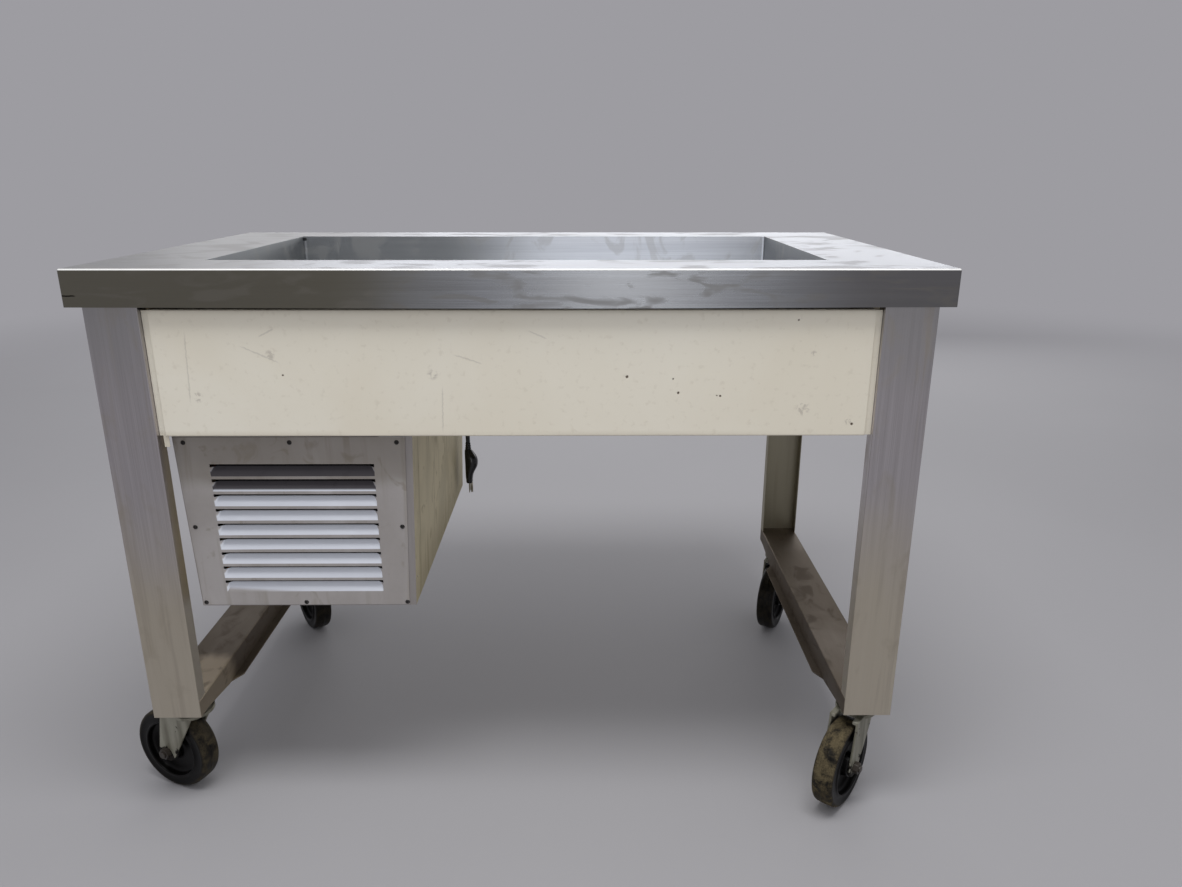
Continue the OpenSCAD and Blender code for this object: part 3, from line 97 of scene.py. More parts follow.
def coil_points():
    """The coil's turns: in on the lower layer, up half way, out on the upper one."""
    outer = COIL_MID_D / 2 + COIL_PITCH * COIL_TURNS / 4
    centre = CORD_LEAD[-1] + Vector((CORD_D, -outer, 0))
    points = []
    for i in range(COIL_TURNS * COIL_POINTS_PER_TURN + 1):
        turn = i / COIL_POINTS_PER_TURN
        radius = outer - COIL_PITCH * (COIL_TURNS / 2 - abs(turn - COIL_TURNS / 2))
        climb = min(max((turn - COIL_TURNS / 2) * 2 + 0.5, 0), 1)
        height = COIL_LAYER * climb * climb * (3 - 2 * climb)
        angle = turn * 2 * math.pi
        points.append(centre + Vector((radius * math.sin(angle), radius * math.cos(angle), height)))
    return points


def make_cord(plug):
    """The power cord as one smooth tube, ending at the plug's pieces, which it is given but does not use."""
    points = CORD_LEAD + coil_points() + CORD_DROP
    curve = bpy.data.curves.new("power_cord", "CURVE")
    curve.dimensions = "3D"
    curve.bevel_depth = CORD_D / 2
    curve.bevel_resolution = 4
    curve.resolution_u = 6
    curve.use_fill_caps = True
    spline = curve.splines.new("BEZIER")
    spline.bezier_points.add(len(points) - 1)
    for knot, point in zip(spline.bezier_points, points):
        knot.co = point
        knot.handle_left_type = knot.handle_right_type = "AUTO"
    cord = linked("power_cord", curve)
    curve.materials.append(MATERIALS["cord_black"])
    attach(cord, "bar_frame")
    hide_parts("power_cord_lead", "power_cord_coil", "power_cord_drop")


# ---- Materials ----


def srgb(red, green, blue):
    """A colour by its 0-255 values on screen, as the linear values that a shader takes."""
    def linear(value):
        value /= 255
        return value / 12.92 if value <= 0.04045 else ((value + 0.055) / 1.055) ** 2.4
    return (linear(red), linear(green), linear(blue), 1)


class Surface:
    """A Principled material whose patterns run on object coordinates, in metres. Its tone and dullness
    are what stains, and in places painted shade and light, are laid on, one after another."""

    def __init__(self, name, colour, metallic=0.0, roughness=0.5, **sockets):
        self.material = bpy.data.materials.new(name)
        self.material.use_nodes = True
        self.tree = self.material.node_tree
        self.shader = self.tree.nodes["Principled BSDF"]
        self.shader.inputs["Base Color"].default_value = colour
        self.shader.inputs["Metallic"].default_value = metallic
        self.shader.inputs["Roughness"].default_value = roughness
        for socket, value in sockets.items():
            self.shader.inputs[socket.replace("_", " ")].default_value = value
        self.coordinates = self.tree.nodes.new("ShaderNodeTexCoord")
        self.height = None
        self.tone, self.dull = colour, roughness

    def node(self, kind, **settings):
        """A new shader node of a kind, with its settings."""
        made = self.tree.nodes.new("ShaderNode" + kind)
        for key, value in settings.items():
            setattr(made, key, value)
        return made

    def feed(self, socket, value):
        """Links a socket to a node's output, or sets it to a number or colour."""
        if isinstance(value, bpy.types.NodeSocket):
            self.tree.links.new(value, socket)
        else:
            socket.default_value = value

    def place(self, scale, shift=(0, 0, 0)):
        """The place on the object, stretched and moved for a texture."""
        mapping = self.node("Mapping")
        mapping.inputs["Scale"].default_value = scale
        mapping.inputs["Location"].default_value = shift
        self.feed(mapping.inputs["Vector"], self.coordinates.outputs["Object"])
        return mapping.outputs["Vector"]

    def noise(self, scale, detail=3.0, distortion=0.0, shift=(0, 0, 0)):
        """Noise with so many waves to the metre along X, Y and Z."""
        made = self.node("TexNoise")
        made.inputs["Scale"].default_value = 1
        made.inputs["Detail"].default_value = detail
        made.inputs["Distortion"].default_value = distortion
        self.feed(made.inputs["Vector"], self.place(scale, shift))
        return made.outputs["Fac"]

    def cells(self, scale):
        """Distance to the middle of the nearest of so many cells to the metre."""
        made = self.node("TexVoronoi")
        made.inputs["Scale"].default_value = 1
        self.feed(made.inputs["Vector"], self.place(scale))
        return made.outputs["Distance"]

    def axis(self, name, source="Object"):
        """One coordinate of the place, or of the normal."""
        split = self.node("SeparateXYZ")
        self.feed(split.inputs["Vector"], self.coordinates.outputs[source])
        return split.outputs[name]

    def mix(self, factor, first, second):
        """The first colour or value where the factor is 0, the second where it is 1."""
        made = self.node("Mix", data_type="RGBA")
        self.feed(made.inputs[0], factor)
        self.feed(made.inputs[6], first)
        self.feed(made.inputs[7], second)
        return made.outputs[2]

    def sum(self, first, second, operation="ADD"):
        """The sum of two values, or what another operation makes of them."""
        made = self.node("Math", operation=operation)
        self.feed(made.inputs[0], first)
        self.feed(made.inputs[1], second)
        return made.outputs[0]

    def both(self, first, second):
        """The product of two masks or values."""
        return self.sum(first, second, "MULTIPLY")

    def size(self, value):
        """A value without its sign."""
        return self.sum(value, 0, "ABSOLUTE")

    def facing(self, name):
        """1 on faces that look along an axis, either way."""
        return self.step(self.size(self.axis(name, "Normal")), 0.6, 0.8)

    def step(self, value, low, high):
        """0 below low, 1 above high, smooth between."""
        made = self.node("MapRange", interpolation_type="SMOOTHSTEP")
        self.feed(made.inputs["Value"], value)
        made.inputs["From Min"].default_value = low
        made.inputs["From Max"].default_value = high
        return made.outputs["Result"]

    def scaled(self, value, low, high):
        """Stretches a value from 0..1 to low..high."""
        made = self.node("MapRange")
        self.feed(made.inputs["Value"], value)
        made.inputs["To Min"].default_value = low
        made.inputs["To Max"].default_value = high
        return made.outputs["Result"]

    def shifted(self, value, noise, most):
        """A value moved up and down by at most so much, by a noise."""
        return self.sum(value, self.scaled(noise, -most, most))

    def colour(self, value):
        self.feed(self.shader.inputs["Base Color"], value)

    def roughness(self, value):
        self.feed(self.shader.inputs["Roughness"], value)

    def metallic(self, value):
        self.feed(self.shader.inputs["Metallic"], value)

    def bump(self, value, depth, strength=1.0):
        """Raises the surface by up to depth, in metres, on top of earlier bumps."""
        made = self.node("Bump")
        made.inputs["Strength"].default_value = strength
        made.inputs["Distance"].default_value = depth
        self.feed(made.inputs["Height"], value)
        if self.height:
            self.feed(made.inputs["Normal"], self.height)
        self.height = made.outputs["Normal"]
        self.feed(self.shader.inputs["Normal"], self.height)


def grain_scale(axis, across, along):
    """A noise's scale with so many waves across an axis, and so many along it."""
    return tuple(along if name == axis else across for name in "XYZ")


def steel_grain(made, axis):
    """Fine ground lines along an axis, with wider soft bands, from 0 to 1."""
    fine = made.noise(grain_scale(axis, 1300, 7), detail=3)
    wide = made.noise(grain_scale(axis, 130, 1.6), detail=3, shift=(3, 1, 2))
    return made.mix(0.4, fine, wide)


def brushed_steel(name, light, dark, axis, end_axis=None, rough=0.26, waves=0.0):
    """Steel ground along one axis, and along another where faces look along X. The caller adds stains, and painted
    shade and light.
    """
    made = Surface(name, light, metallic=1.0, roughness=rough)
    grain = steel_grain(made, axis)
    if end_axis:
        grain = made.mix(made.facing("X"), grain, steel_grain(made, end_axis))
    made.tone = made.mix(made.step(grain, 0.34, 0.66), dark, light)
    made.dull = made.scaled(grain, rough - 0.05, rough + 0.06)
    made.bump(grain, 0.00005, 0.35)
    if waves:
        made.bump(made.noise((3.2, 3.2, 7), detail=1, shift=(7, 5, 1)), waves, 0.35)
    return made


def stain_and_painted_light(made, where, colour, most, dulling=0.1):
    """Lays a colour on the steel so far by a mask: a stain, and in some places painted shade, a painted reflection
    or a painted highlight.
    """
    made.tone = made.mix(made.scaled(where, 0, most), made.tone, colour)
    made.dull = made.sum(made.dull, made.scaled(where, 0, dulling))


def finish_steel(made):
    """Gives the steel its tone and dullness so far, and returns its material."""
    made.colour(made.tone)
    made.roughness(made.dull)
    return made.material


# A cut in the front rim near its left end: its ends by X and Z, its width, and where the rim begins in Y
RIM_NICK = ((-0.6375, 0.8763), (-0.613, 0.8763), 0.0016)
RIM_FRONT = (-0.35, -0.36)
# A weld's burn in the well's left rear corner: its X and Z, its radius, and where the rear wall begins
WELD_BURN = (-0.4755, 0.9085, 0.005)
WELL_REAR = (0.232, 0.238)


def worktop_steel():
    """Brushed worktop: both ends of its rims darkened as a painted reflection of dark surroundings, rubbed
    smears, a painted highlight along its folds, and a deck paler and bluer than its rims as a painted
    reflection of the overhead light, and cleaner towards its right."""
    made = brushed_steel("stainless", srgb(176, 179, 183), srgb(158, 160, 163), "X", "Y", waves=0.0016)
    across = made.axis("X")
    upward = made.axis("Z", "Normal")
    cloud = made.noise((2.6, 2.6, 5), detail=5, distortion=0.8)
    # Both ends of the rims' upright faces are darkened here: a painted reflection of dark surroundings.
    upright = made.step(upward, 0.6, 0.3)
    left = made.step(made.shifted(across, cloud, 0.14), -0.02, -0.3)
    stain_and_painted_light(made, made.both(left, upright), srgb(122, 118, 104), 0.95, 0.06)
    right = made.step(made.shifted(across, cloud, 0.1), 0.3, 0.5)
    stain_and_painted_light(made, made.both(right, upright), srgb(120, 118, 117), 0.85, 0.05)
    smears = made.step(made.noise((9, 9, 40), detail=5, distortion=1.4, shift=(2, 6, 1)), 0.52, 0.66)
    stain_and_painted_light(made, made.both(smears, upright), srgb(134, 130, 122), 0.4)
    # The deck's upward faces get a paler, bluer tone than the rims: a painted reflection of the overhead light.
    deck = made.step(upward, 0.5, 0.9)
    made.tone = made.mix(deck, made.tone, made.mix(cloud, srgb(188, 191, 196), srgb(214, 218, 226)))
    made.dull = made.sum(made.dull, made.scaled(deck, 0, 0.14))
    wiped = made.step(made.noise((5, 8, 5), detail=6, distortion=2.2, shift=(5, 2, 2)), 0.5, 0.62)
    stain_and_painted_light(made, made.both(wiped, deck), srgb(172, 171, 172), 0.55, 0.08)
    worn = made.step(made.shifted(across, cloud, 0.12), -0.16, -0.5)
    stain_and_painted_light(made, made.both(worn, deck), srgb(170, 169, 167), 0.8, 0.1)
    # A near-white, less metallic band on the rounded folds: a painted highlight.
    edge = made.both(made.step(upward, 0.15, 0.4), made.step(upward, 0.99, 0.95))
    stain_and_painted_light(made, edge, srgb(250, 250, 247), 0.9, 0)
    made.metallic(made.scaled(edge, 1, 0.35))
    ragged = made.scaled(made.noise((260, 260, 260), detail=3), -0.0008, 0.0008)
    nick = made.both(near_line(made, *RIM_NICK, ragged), made.step(made.axis("Y"), *RIM_FRONT))
    stain_and_painted_light(made, nick, srgb(24, 20, 18), 0.95, 0.3)
    return finish_steel(made)


def pan_lining():
    """The well's steel: a near-white base that gives a painted highlight at its right, darkened to the left as a
    painted reflection and on its end walls as painted shade, with water marks.
    """
    made = brushed_steel("pan_steel", srgb(246, 249, 253), srgb(228, 231, 236), "X", "Y", rough=0.42,
                         waves=0.0012)
    # Darker to the left: a painted reflection; with the near-white base it leaves a painted highlight to the
    # right.
    left = made.step(made.axis("X"), 0.05, -0.2)
    stain_and_painted_light(made, left, srgb(138, 141, 142), 0.8, 0.05)
    # The end walls darkened, more at the right end: painted shade in the well.
    shaded = made.scaled(made.step(made.axis("X"), -0.1, 0.1), 0.2, 0.85)
    stain_and_painted_light(made, made.both(made.facing("X"), shaded), srgb(96, 98, 98), 1, 0.05)
    marks = made.step(made.noise((14, 14, 10), detail=6, distortion=1.6), 0.52, 0.64)
    stain_and_painted_light(made, marks, srgb(176, 175, 172), 0.35)
    burn = made.both(near_point(made, *WELD_BURN, 0), made.step(made.axis("Y"), *WELL_REAR))
    stain_and_painted_light(made, burn, srgb(30, 30, 30), 0.9, 0.2)
    return finish_steel(made)


def leg_steel():
    """Upright-ground legs: cool grey above, beige with handling stains and runs lower down, and more
    olive at the rear."""
    made = brushed_steel("leg_steel", srgb(203, 198, 200), srgb(184, 179, 180), "Z", rough=0.34)
    height = made.axis("Z")
    cloud = made.noise((6, 6, 3), detail=6, distortion=0.6)
    low = made.step(made.shifted(height, cloud, 0.12), 0.62, 0.34)
    stain_and_painted_light(made, low, srgb(202, 193, 172), 0.8, 0.06)
    top = made.step(made.shifted(height, cloud, 0.06), 0.7, 0.86)
    stain_and_painted_light(made, top, srgb(168, 167, 166), 0.7, 0.03)
    runs = made.step(made.noise((70, 70, 3), detail=4, shift=(2, 9, 4)), 0.54, 0.68)
    stain_and_painted_light(made, runs, srgb(172, 163, 150), 0.35)
    rear = made.step(made.axis("Y"), 0.2, 0.3)
    stain_and_painted_light(made, rear, srgb(148, 143, 123), 0.85, 0.05)
    rubbed = made.step(made.noise((34, 34, 16), detail=6, distortion=0.5, shift=(8, 1, 5)), 0.52, 0.74)
    stain_and_painted_light(made, rubbed, srgb(172, 163, 146), 0.35, 0.1)
    return finish_steel(made)


def rail_steel():
    """Rails ground along their length, brown with old dirt, darker in their middles and along the left rail, and
    paler at the left rail's front.
    """
    made = brushed_steel("rail_steel", srgb(136, 128, 119), srgb(124, 115, 106), "Y", rough=0.42)
    cloud = made.noise((7, 3.5, 7), detail=6, distortion=0.4)
    dirt = made.step(cloud, 0.28, 0.6)
    stain_and_painted_light(made, dirt, srgb(102, 91, 77), 0.8, 0.12)
    middle = made.step(made.shifted(made.size(made.axis("Y")), cloud, 0.1), 0.31, 0.2)
    stain_and_painted_light(made, middle, srgb(96, 85, 71), 0.5, 0.05)
    front = made.step(made.shifted(made.axis("Y"), cloud, 0.06), -0.215, -0.25)
    left = made.step(made.axis("X"), 0.1, -0.1)
    stain_and_painted_light(made, left, srgb(84, 74, 60), 0.4, 0.02)
    stain_and_painted_light(made, made.both(front, left), srgb(178, 165, 144), 0.75, 0.02)
    patches = made.step(made.noise((30, 18, 30), detail=5, distortion=0.8, shift=(3, 3, 3)), 0.52, 0.7)
    stain_and_painted_light(made, patches, srgb(84, 72, 59), 0.4, 0.1)
    return finish_steel(made)


def galvanised(name, light, dark, grime):
    """Dull zinc-coated sheet with a faint spangle, runs and grime. The caller adds stains, and painted shade and
    light.
    """
    made = Surface(name, light, metallic=0.55, roughness=0.46)
    spangle = made.cells((110, 110, 110))
    cloud = made.noise((8, 8, 5), detail=6, distortion=0.8)
    runs = made.noise((60, 60, 3), detail=4, shift=(2, 9, 4))
    made.tone = made.mix(made.step(cloud, 0.34, 0.66), dark, light)
    made.tone = made.mix(made.scaled(spangle, 0, 0.16), made.tone, light)
    made.dull = made.scaled(cloud, 0.39, 0.58)
    dirty = made.both(made.step(runs, 0.52, 0.7), made.step(cloud, 0.36, 0.58))
    stain_and_painted_light(made, dirty, grime, 0.5)
    blots = made.step(made.noise((26, 26, 18), detail=6, distortion=1.5, shift=(6, 6, 1)), 0.58, 0.7)
    stain_and_painted_light(made, blots, grime, 0.4)
    made.bump(made.noise((4, 4, 4), detail=1, shift=(1, 4, 8)), 0.0016, 0.3)
    made.bump(runs, 0.0001, 0.25)
    return made


def housing_steel():
    """The housing's wrapper: olive, mottled, darker towards its lower edge, and grey on its flanges."""
    made = galvanised("galvanised", srgb(210, 199, 166), srgb(182, 171, 136), srgb(134, 121, 88))
    low = made.step(made.axis("Z"), 0.47, 0.37)
    stain_and_painted_light(made, low, srgb(150, 139, 110), 0.55)
    flange = made.mix(made.noise((60, 60, 4), detail=4), srgb(150, 144, 140), srgb(172, 168, 167))
    made.tone = made.mix(made.facing("Y"), made.tone, flange)
    return finish_steel(made)


# The louvres' right ends in X, and the height above which their pressed faces are painted dark as shade of the
# apron
LOUVRE_RIGHT = -0.208
LOUVRE_SHADE_Z = 0.571


def louvre_steel():
    """The louvred panels: cool grey, browner and darker under the apron, partly dust and partly painted shade,
    with pale bluish pressed faces as a painted highlight, and the top louvres painted dark as shade.
    """
    made = galvanised("panel_steel", srgb(194, 190, 188), srgb(177, 172, 168), srgb(150, 141, 126))
    ragged = made.noise((10, 10, 10), detail=4)
    # Browner and darker under the apron: partly dust, partly painted shade of the apron.
    high = made.step(made.shifted(made.axis("Z"), ragged, 0.02), 0.57, 0.6)
    stain_and_painted_light(made, high, srgb(126, 118, 104), 0.5, 0.1)
    # The upward pressed louvre faces turn pale and bluish: a painted highlight of the overhead light.
    pressed = made.step(made.axis("Z", "Normal"), 0.12, 0.3)
    made.tone = made.mix(made.scaled(pressed, 0, 0.9), made.tone, srgb(232, 237, 246))
    # The pressed faces of the top louvres turn nearly black: painted shade of the apron.
    top_louvre_shade = made.step(made.axis("Z"), LOUVRE_SHADE_Z, LOUVRE_SHADE_Z + 0.004)
    inside = made.step(made.axis("X"), LOUVRE_RIGHT, LOUVRE_RIGHT - 0.006)
    stain_and_painted_light(made, made.both(made.both(pressed, top_louvre_shade), inside), srgb(58, 52, 55), 0.95, 0.2)
    return finish_steel(made)


# Chips, then grey smudges, by X, Z and radius, and scratches by the X and Z of both ends
APRON_CHIPS = [(0.165, 0.756, 0.0026), (0.233, 0.753, 0.0018), (0.241, 0.7315, 0.0024),
               (0.3035, 0.7269, 0.002), (0.299, 0.7275, 0.0018), (-0.339, 0.759, 0.0015),
               (0.503, 0.6834, 0.0026), (0.412, 0.84, 0.002)]
APRON_SMUDGES = [(-0.469, 0.7262, 0.011), (0.428, 0.7067, 0.013), (0.497, 0.687, 0.007),
                 (-0.355, 0.789, 0.009), (0.438, 0.79, 0.006), (-0.12, 0.76, 0.01)]
APRON_SCRATCHES = [((-0.474, 0.83), (-0.48, 0.71)), ((-0.4006, 0.804), (-0.34, 0.776)),
                   ((-0.09, 0.79), (-0.045, 0.775)), ((-0.1063, 0.745), (-0.1093, 0.668)),
                   ((-0.37, 0.815), (-0.345, 0.828)), ((0.02, 0.825), (0.05, 0.812))]
SCRATCH_W = 0.0016
# Heights between which the dirt on the apron's lower and upper edges comes up
APRON_EDGES = ((0.676, 0.664), (0.846, 0.857))


def near_point(made, x, z, radius, ragged):
    """A soft-edged round mask about a place on a face that looks along Y."""
    offset = made.node("VectorMath", operation="SUBTRACT")
    made.feed(offset.inputs[0], made.coordinates.outputs["Object"])
    offset.inputs[1].default_value = (x, 0, z)
    flat = made.node("VectorMath", operation="MULTIPLY")
    made.feed(flat.inputs[0], offset.outputs[0])
    flat.inputs[1].default_value = (1, 0, 1)
    length = made.node("VectorMath", operation="LENGTH")
    made.feed(length.inputs[0], flat.outputs[0])
    return made.step(made.sum(length.outputs["Value"], ragged), radius, radius * 0.4)


def near_line(made, start, end, width, ragged):
    """A mask along a line on a face that looks along Y."""
    (x0, z0), (x1, z1) = start, end
    length = math.hypot(x1 - x0, z1 - z0)
    turn = made.node("Mapping", vector_type="TEXTURE")
    turn.inputs["Location"].default_value = ((x0 + x1) / 2, 0, (z0 + z1) / 2)
    turn.inputs["Rotation"].default_value = (0, -math.atan2(z1 - z0, x1 - x0), 0)
    made.feed(turn.inputs["Vector"], made.coordinates.outputs["Object"])
    split = made.node("SeparateXYZ")
    made.feed(split.inputs["Vector"], turn.outputs["Vector"])
    along = made.step(made.size(split.outputs["X"]), length * 0.5, length * 0.3)
    across = made.size(made.sum(split.outputs["Z"], ragged))
    return made.both(along, made.step(across, width, width * 0.2))


def largest(made, masks):
    """The largest of several masks at each place."""
    total = masks[0]
    for mask in masks[1:]:
        total = made.sum(total, mask, "MAXIMUM")
    return total


def cream_enamel():
    """Aged cream enamel: nearly even, with rubbed dirt at its edges, smudges, scratches and chips."""
    made = Surface("cream_enamel", srgb(226, 219, 208), roughness=0.44, Specular_IOR_Level=0.4)
    cloud = made.noise((3, 3, 4), detail=5, distortion=0.6)
    tone = made.mix(made.step(cloud, 0.3, 0.7), srgb(232, 225, 207), srgb(238, 233, 218))
    speck = made.noise((90, 90, 90), detail=4, shift=(4, 2, 7))
    tone = made.mix(made.scaled(made.step(speck, 0.56, 0.74), 0, 0.25), tone, srgb(198, 188, 168))
    ragged = made.scaled(made.noise((260, 260, 260), detail=3), -0.0016, 0.0016)
    smudges = largest(made, [near_point(made, *place, ragged) for place in APRON_SMUDGES])
    speckled = made.step(made.noise((120, 120, 120), detail=4, distortion=1), 0.46, 0.6)
    smudges = made.both(smudges, speckled)
    tone = made.mix(made.scaled(smudges, 0, 0.45), tone, srgb(158, 148, 138))
    scratches = largest(made, [near_line(made, *ends, SCRATCH_W, ragged) for ends in APRON_SCRATCHES])
    tone = made.mix(made.scaled(scratches, 0, 0.28), tone, srgb(150, 142, 134))
    height = made.axis("Z")
    edges = largest(made, [made.step(height, *edge) for edge in APRON_EDGES])
    rubbed = made.both(edges, made.step(cloud, 0.3, 0.6))
    tone = made.mix(made.scaled(rubbed, 0, 0.4), tone, srgb(186, 174, 150))
    chips = largest(made, [near_point(made, *place, ragged) for place in APRON_CHIPS])
    made.colour(made.mix(chips, tone, srgb(84, 70, 56)))
    made.roughness(made.sum(made.scaled(cloud, 0.38, 0.5), made.scaled(smudges, 0, 0.15)))
    made.bump(made.noise((3.5, 3.5, 5), detail=1, shift=(5, 5, 5)), 0.002, 0.25)
    made.bump(speck, 0.00012, 0.25)
    made.bump(made.both(chips, -1), 0.0004)
    return made.material


# Heights between which the casters' paint gives way to bare metal, downwards
FLAKE_LINE = (0.082, 0.078)


def peeling_zinc():
    """Casters' plating under grey-green paint that has flaked off the lower ends of the arms."""
    made = Surface("zinc", srgb(150, 150, 136), metallic=0.25, roughness=0.5)
    flakes = made.noise((42, 42, 34), detail=6, distortion=1.2)
    fine = made.noise((220, 220, 220), detail=4)
    low = made.step(made.shifted(made.axis("Z"), flakes, 0.05), *FLAKE_LINE)
    spots = made.step(made.shifted(flakes, fine, 0.1), 0.66, 0.69)
    bare = largest(made, [low, spots])
    streaks = made.noise((70, 70, 9), detail=4, shift=(1, 1, 6))
    paint = made.mix(made.step(streaks, 0.3, 0.7), srgb(104, 101, 87), srgb(146, 144, 131))
    metal = made.mix(made.step(fine, 0.4, 0.6), srgb(14, 12, 11), srgb(38, 30, 24))
    made.colour(made.mix(bare, paint, metal))
    made.metallic(made.scaled(bare, 0.2, 0.5))
    made.roughness(made.scaled(bare, 0.48, 0.75))
    made.bump(made.both(bare, -1), 0.0006)
    made.bump(fine, 0.0002, 0.5)
    return made.material


def wheel_black():
    """Moulded black wheel, glossy at its sides, with brown dust ground into its tread."""
    made = Surface("wheel_black", srgb(9, 8, 8), roughness=0.4, Specular_IOR_Level=0.18)
    tread = made.node("Attribute", attribute_name="tread")
    smear = made.noise((55, 55, 55), detail=6, distortion=0.8)
    fine = made.noise((420, 420, 420), detail=3)
    dusty = made.both(tread.outputs["Fac"], made.step(smear, 0.2, 0.55))
    clumps = made.step(made.shifted(made.scaled(fine, 0.3, 0.7), smear, 0.3), 0.3, 0.7)
    dust = made.mix(clumps, srgb(20, 16, 11), srgb(98, 88, 66))
    side = made.mix(made.scaled(made.step(smear, 0.48, 0.72), 0, 0.5), srgb(5, 4, 4), srgb(17, 13, 11))
    made.colour(made.mix(dusty, side, dust))
    made.roughness(made.sum(made.scaled(dusty, 0.36, 0.85), made.scaled(smear, -0.08, 0.1)))
    made.bump(fine, 0.0002, 0.4)
    return made.material


def moulded(name, colour, rough, speckle=0.0002):
    """Moulded plastic or rubber with a fine texture and handling marks."""
    made = Surface(name, colour, roughness=rough)
    fine = made.noise((700, 700, 700), detail=2)
    marks = made.noise((25, 25, 25), detail=5, distortion=1)
    pale = tuple(min(1, c * 1.5 + 0.006) for c in colour[:3]) + (1,)
    made.colour(made.mix(made.scaled(made.step(marks, 0.45, 0.75), 0, 0.6), colour, pale))
    made.roughness(made.scaled(marks, rough - 0.08, rough + 0.12))
    made.bump(fine, speckle, 0.4)
    return made.material


def painted(name, colour, worn):
    """Painted steel, rubbed through in places."""
    made = Surface(name, colour, roughness=0.4)
    cloud = made.noise((18, 18, 18), detail=6, distortion=0.8)
    fine = made.noise((160, 160, 160), detail=3)
    rub = made.step(made.shifted(cloud, fine, 0.08), 0.64, 0.68)
    made.colour(made.mix(rub, colour, worn))
    made.roughness(made.sum(made.scaled(cloud, 0.34, 0.5), made.scaled(rub, 0, 0.15)))
    made.bump(fine, 0.0001, 0.4)
    return made.material


def drawn_tube(name, bright, dull):
    """Drawn copper or turned brass, tarnished in clouds."""
    made = Surface(name, bright, metallic=1.0, roughness=0.3)
    cloud = made.noise((30, 30, 30), detail=6, distortion=1.2)
    made.colour(made.mix(made.step(cloud, 0.4, 0.62), bright, dull))
    made.roughness(made.scaled(cloud, 0.22, 0.55))
    made.bump(made.noise((250, 250, 250), detail=2), 0.0001, 0.4)
    return made.material


def foam():
    """Insulation foam, with pores."""
    made = Surface("foam", srgb(214, 196, 140), roughness=0.9)
    pores = made.cells((260, 260, 260))
    cloud = made.noise((9, 9, 9), detail=4)
    tone = made.mix(cloud, srgb(200, 178, 118), srgb(226, 210, 160))
    made.colour(made.mix(made.step(pores, 0.5, 0.15), tone, srgb(168, 142, 88)))
    made.bump(pores, 0.0006, 0.6)
    return made.material


def dust_and_shade_fins():
    """The condenser's aluminium fins, dulled by dust and darkened further as painted shade inside the housing."""
    made = brushed_steel("fin_aluminium", srgb(120, 119, 117), srgb(92, 91, 90), "Z", rough=0.5)
    # The fins' dark tone and blots: partly dust, partly painted shade inside the housing.
    stain_and_painted_light(made, made.step(made.noise((12, 12, 12), detail=5), 0.36, 0.56), srgb(52, 48, 45), 0.9, 0.2)
    return finish_steel(made)


def make_materials():
    """All the materials, by name."""
    return {
        "stainless": worktop_steel(),
        "pan_steel": pan_lining(),
        "leg_steel": leg_steel(),
        "rail_steel": rail_steel(),
        "galvanised": housing_steel(),
        "panel_steel": louvre_steel(),
        "cream_enamel": cream_enamel(),
        "zinc": peeling_zinc(),
        "bolt_steel": painted("bolt_steel", srgb(108, 104, 98), srgb(70, 56, 44)),
        "screw_black": painted("screw_black", srgb(30, 27, 25), srgb(70, 62, 54)),
        "dark_axle": painted("dark_axle", srgb(52, 46, 40), srgb(96, 88, 78)),
        "blade_brass": drawn_tube("blade_brass", srgb(190, 186, 172), srgb(140, 132, 112)),
        "foam": foam(),
        "fin_aluminium": dust_and_shade_fins(),
        "copper_tube": drawn_tube("copper_tube", srgb(214, 138, 100), srgb(150, 92, 62)),
        "valve_brass": drawn_tube("valve_brass", srgb(214, 180, 110), srgb(160, 128, 74)),
        "compressor_black": painted("compressor_black", srgb(24, 24, 25), srgb(58, 54, 50)),
        "motor_paint": painted("motor_paint", srgb(52, 52, 55), srgb(92, 90, 88)),
        "lever_red": painted("lever_red", srgb(150, 28, 20), srgb(120, 112, 104)),
        "black_plastic": moulded("black_plastic", srgb(26, 26, 27), 0.55),
        "grey_plastic": moulded("grey_plastic", srgb(186, 186, 182), 0.5),
        "plug_black": moulded("plug_black", srgb(13, 13, 14), 0.2, speckle=0.00006),
        "cord_black": moulded("cord_black", srgb(24, 24, 25), 0.42),
        "wheel_black": wheel_black(),
        "mount_rubber": moulded("mount_rubber", srgb(34, 33, 32), 0.75),
    }


MATERIALS = make_materials()
SLOTS = {part["node"]: part["material_slot"] for part in frame["record"]["subparts"]}
BODIES = {node: body for body, nodes in frame["record"]["behaviour"]["bodies"].items() for node in nodes}
OTHER_FINISH = {"rail_left": "rail_steel", "rail_right": "rail_steel", "panel_screws": "screw_black"}


def finish_of(node):
    """The material that a CAD node wears."""
    if node.startswith("caster_") and node.endswith("_axle"):
        return MATERIALS["dark_axle"]
    return MATERIALS[OTHER_FINISH.get(node, SLOTS[node])]


def dress_nodes():
    """Gives every CAD node its material."""
    for name, node in NODES.items():
        node.data.materials.clear()
        node.data.materials.append(finish_of(name))


# ---- Pieces built over the frame ----


def stand_in(name, mesh, *nodes, material=None):
    """Makes a mesh a piece that replaces CAD nodes of one body and takes their finish."""
    piece = linked(name, mesh)
    mesh.materials.clear()
    mesh.materials.append(material or finish_of(nodes[0]))
    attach(piece, BODIES[nodes[0]])
    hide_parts(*nodes)
    return piece


def mesh_of(form, name, angle=32):
    """A form's mesh, smooth but for its edges sharper than an angle in degrees. The form is freed."""
    mesh = bpy.data.meshes.new(name)
    form.to_mesh(mesh)
    form.free()
    mesh.shade_smooth()
    mesh.set_sharp_from_angle(angle=math.radians(angle))
    return mesh


def breadth(face):
    """How broad a face is: for a strip, its width."""
    return 2 * face.calc_area() / max(face.calc_perimeter(), 1e-9)


# Edges are rounded where the surface turns outwards by more degrees than this
SHARP = 35
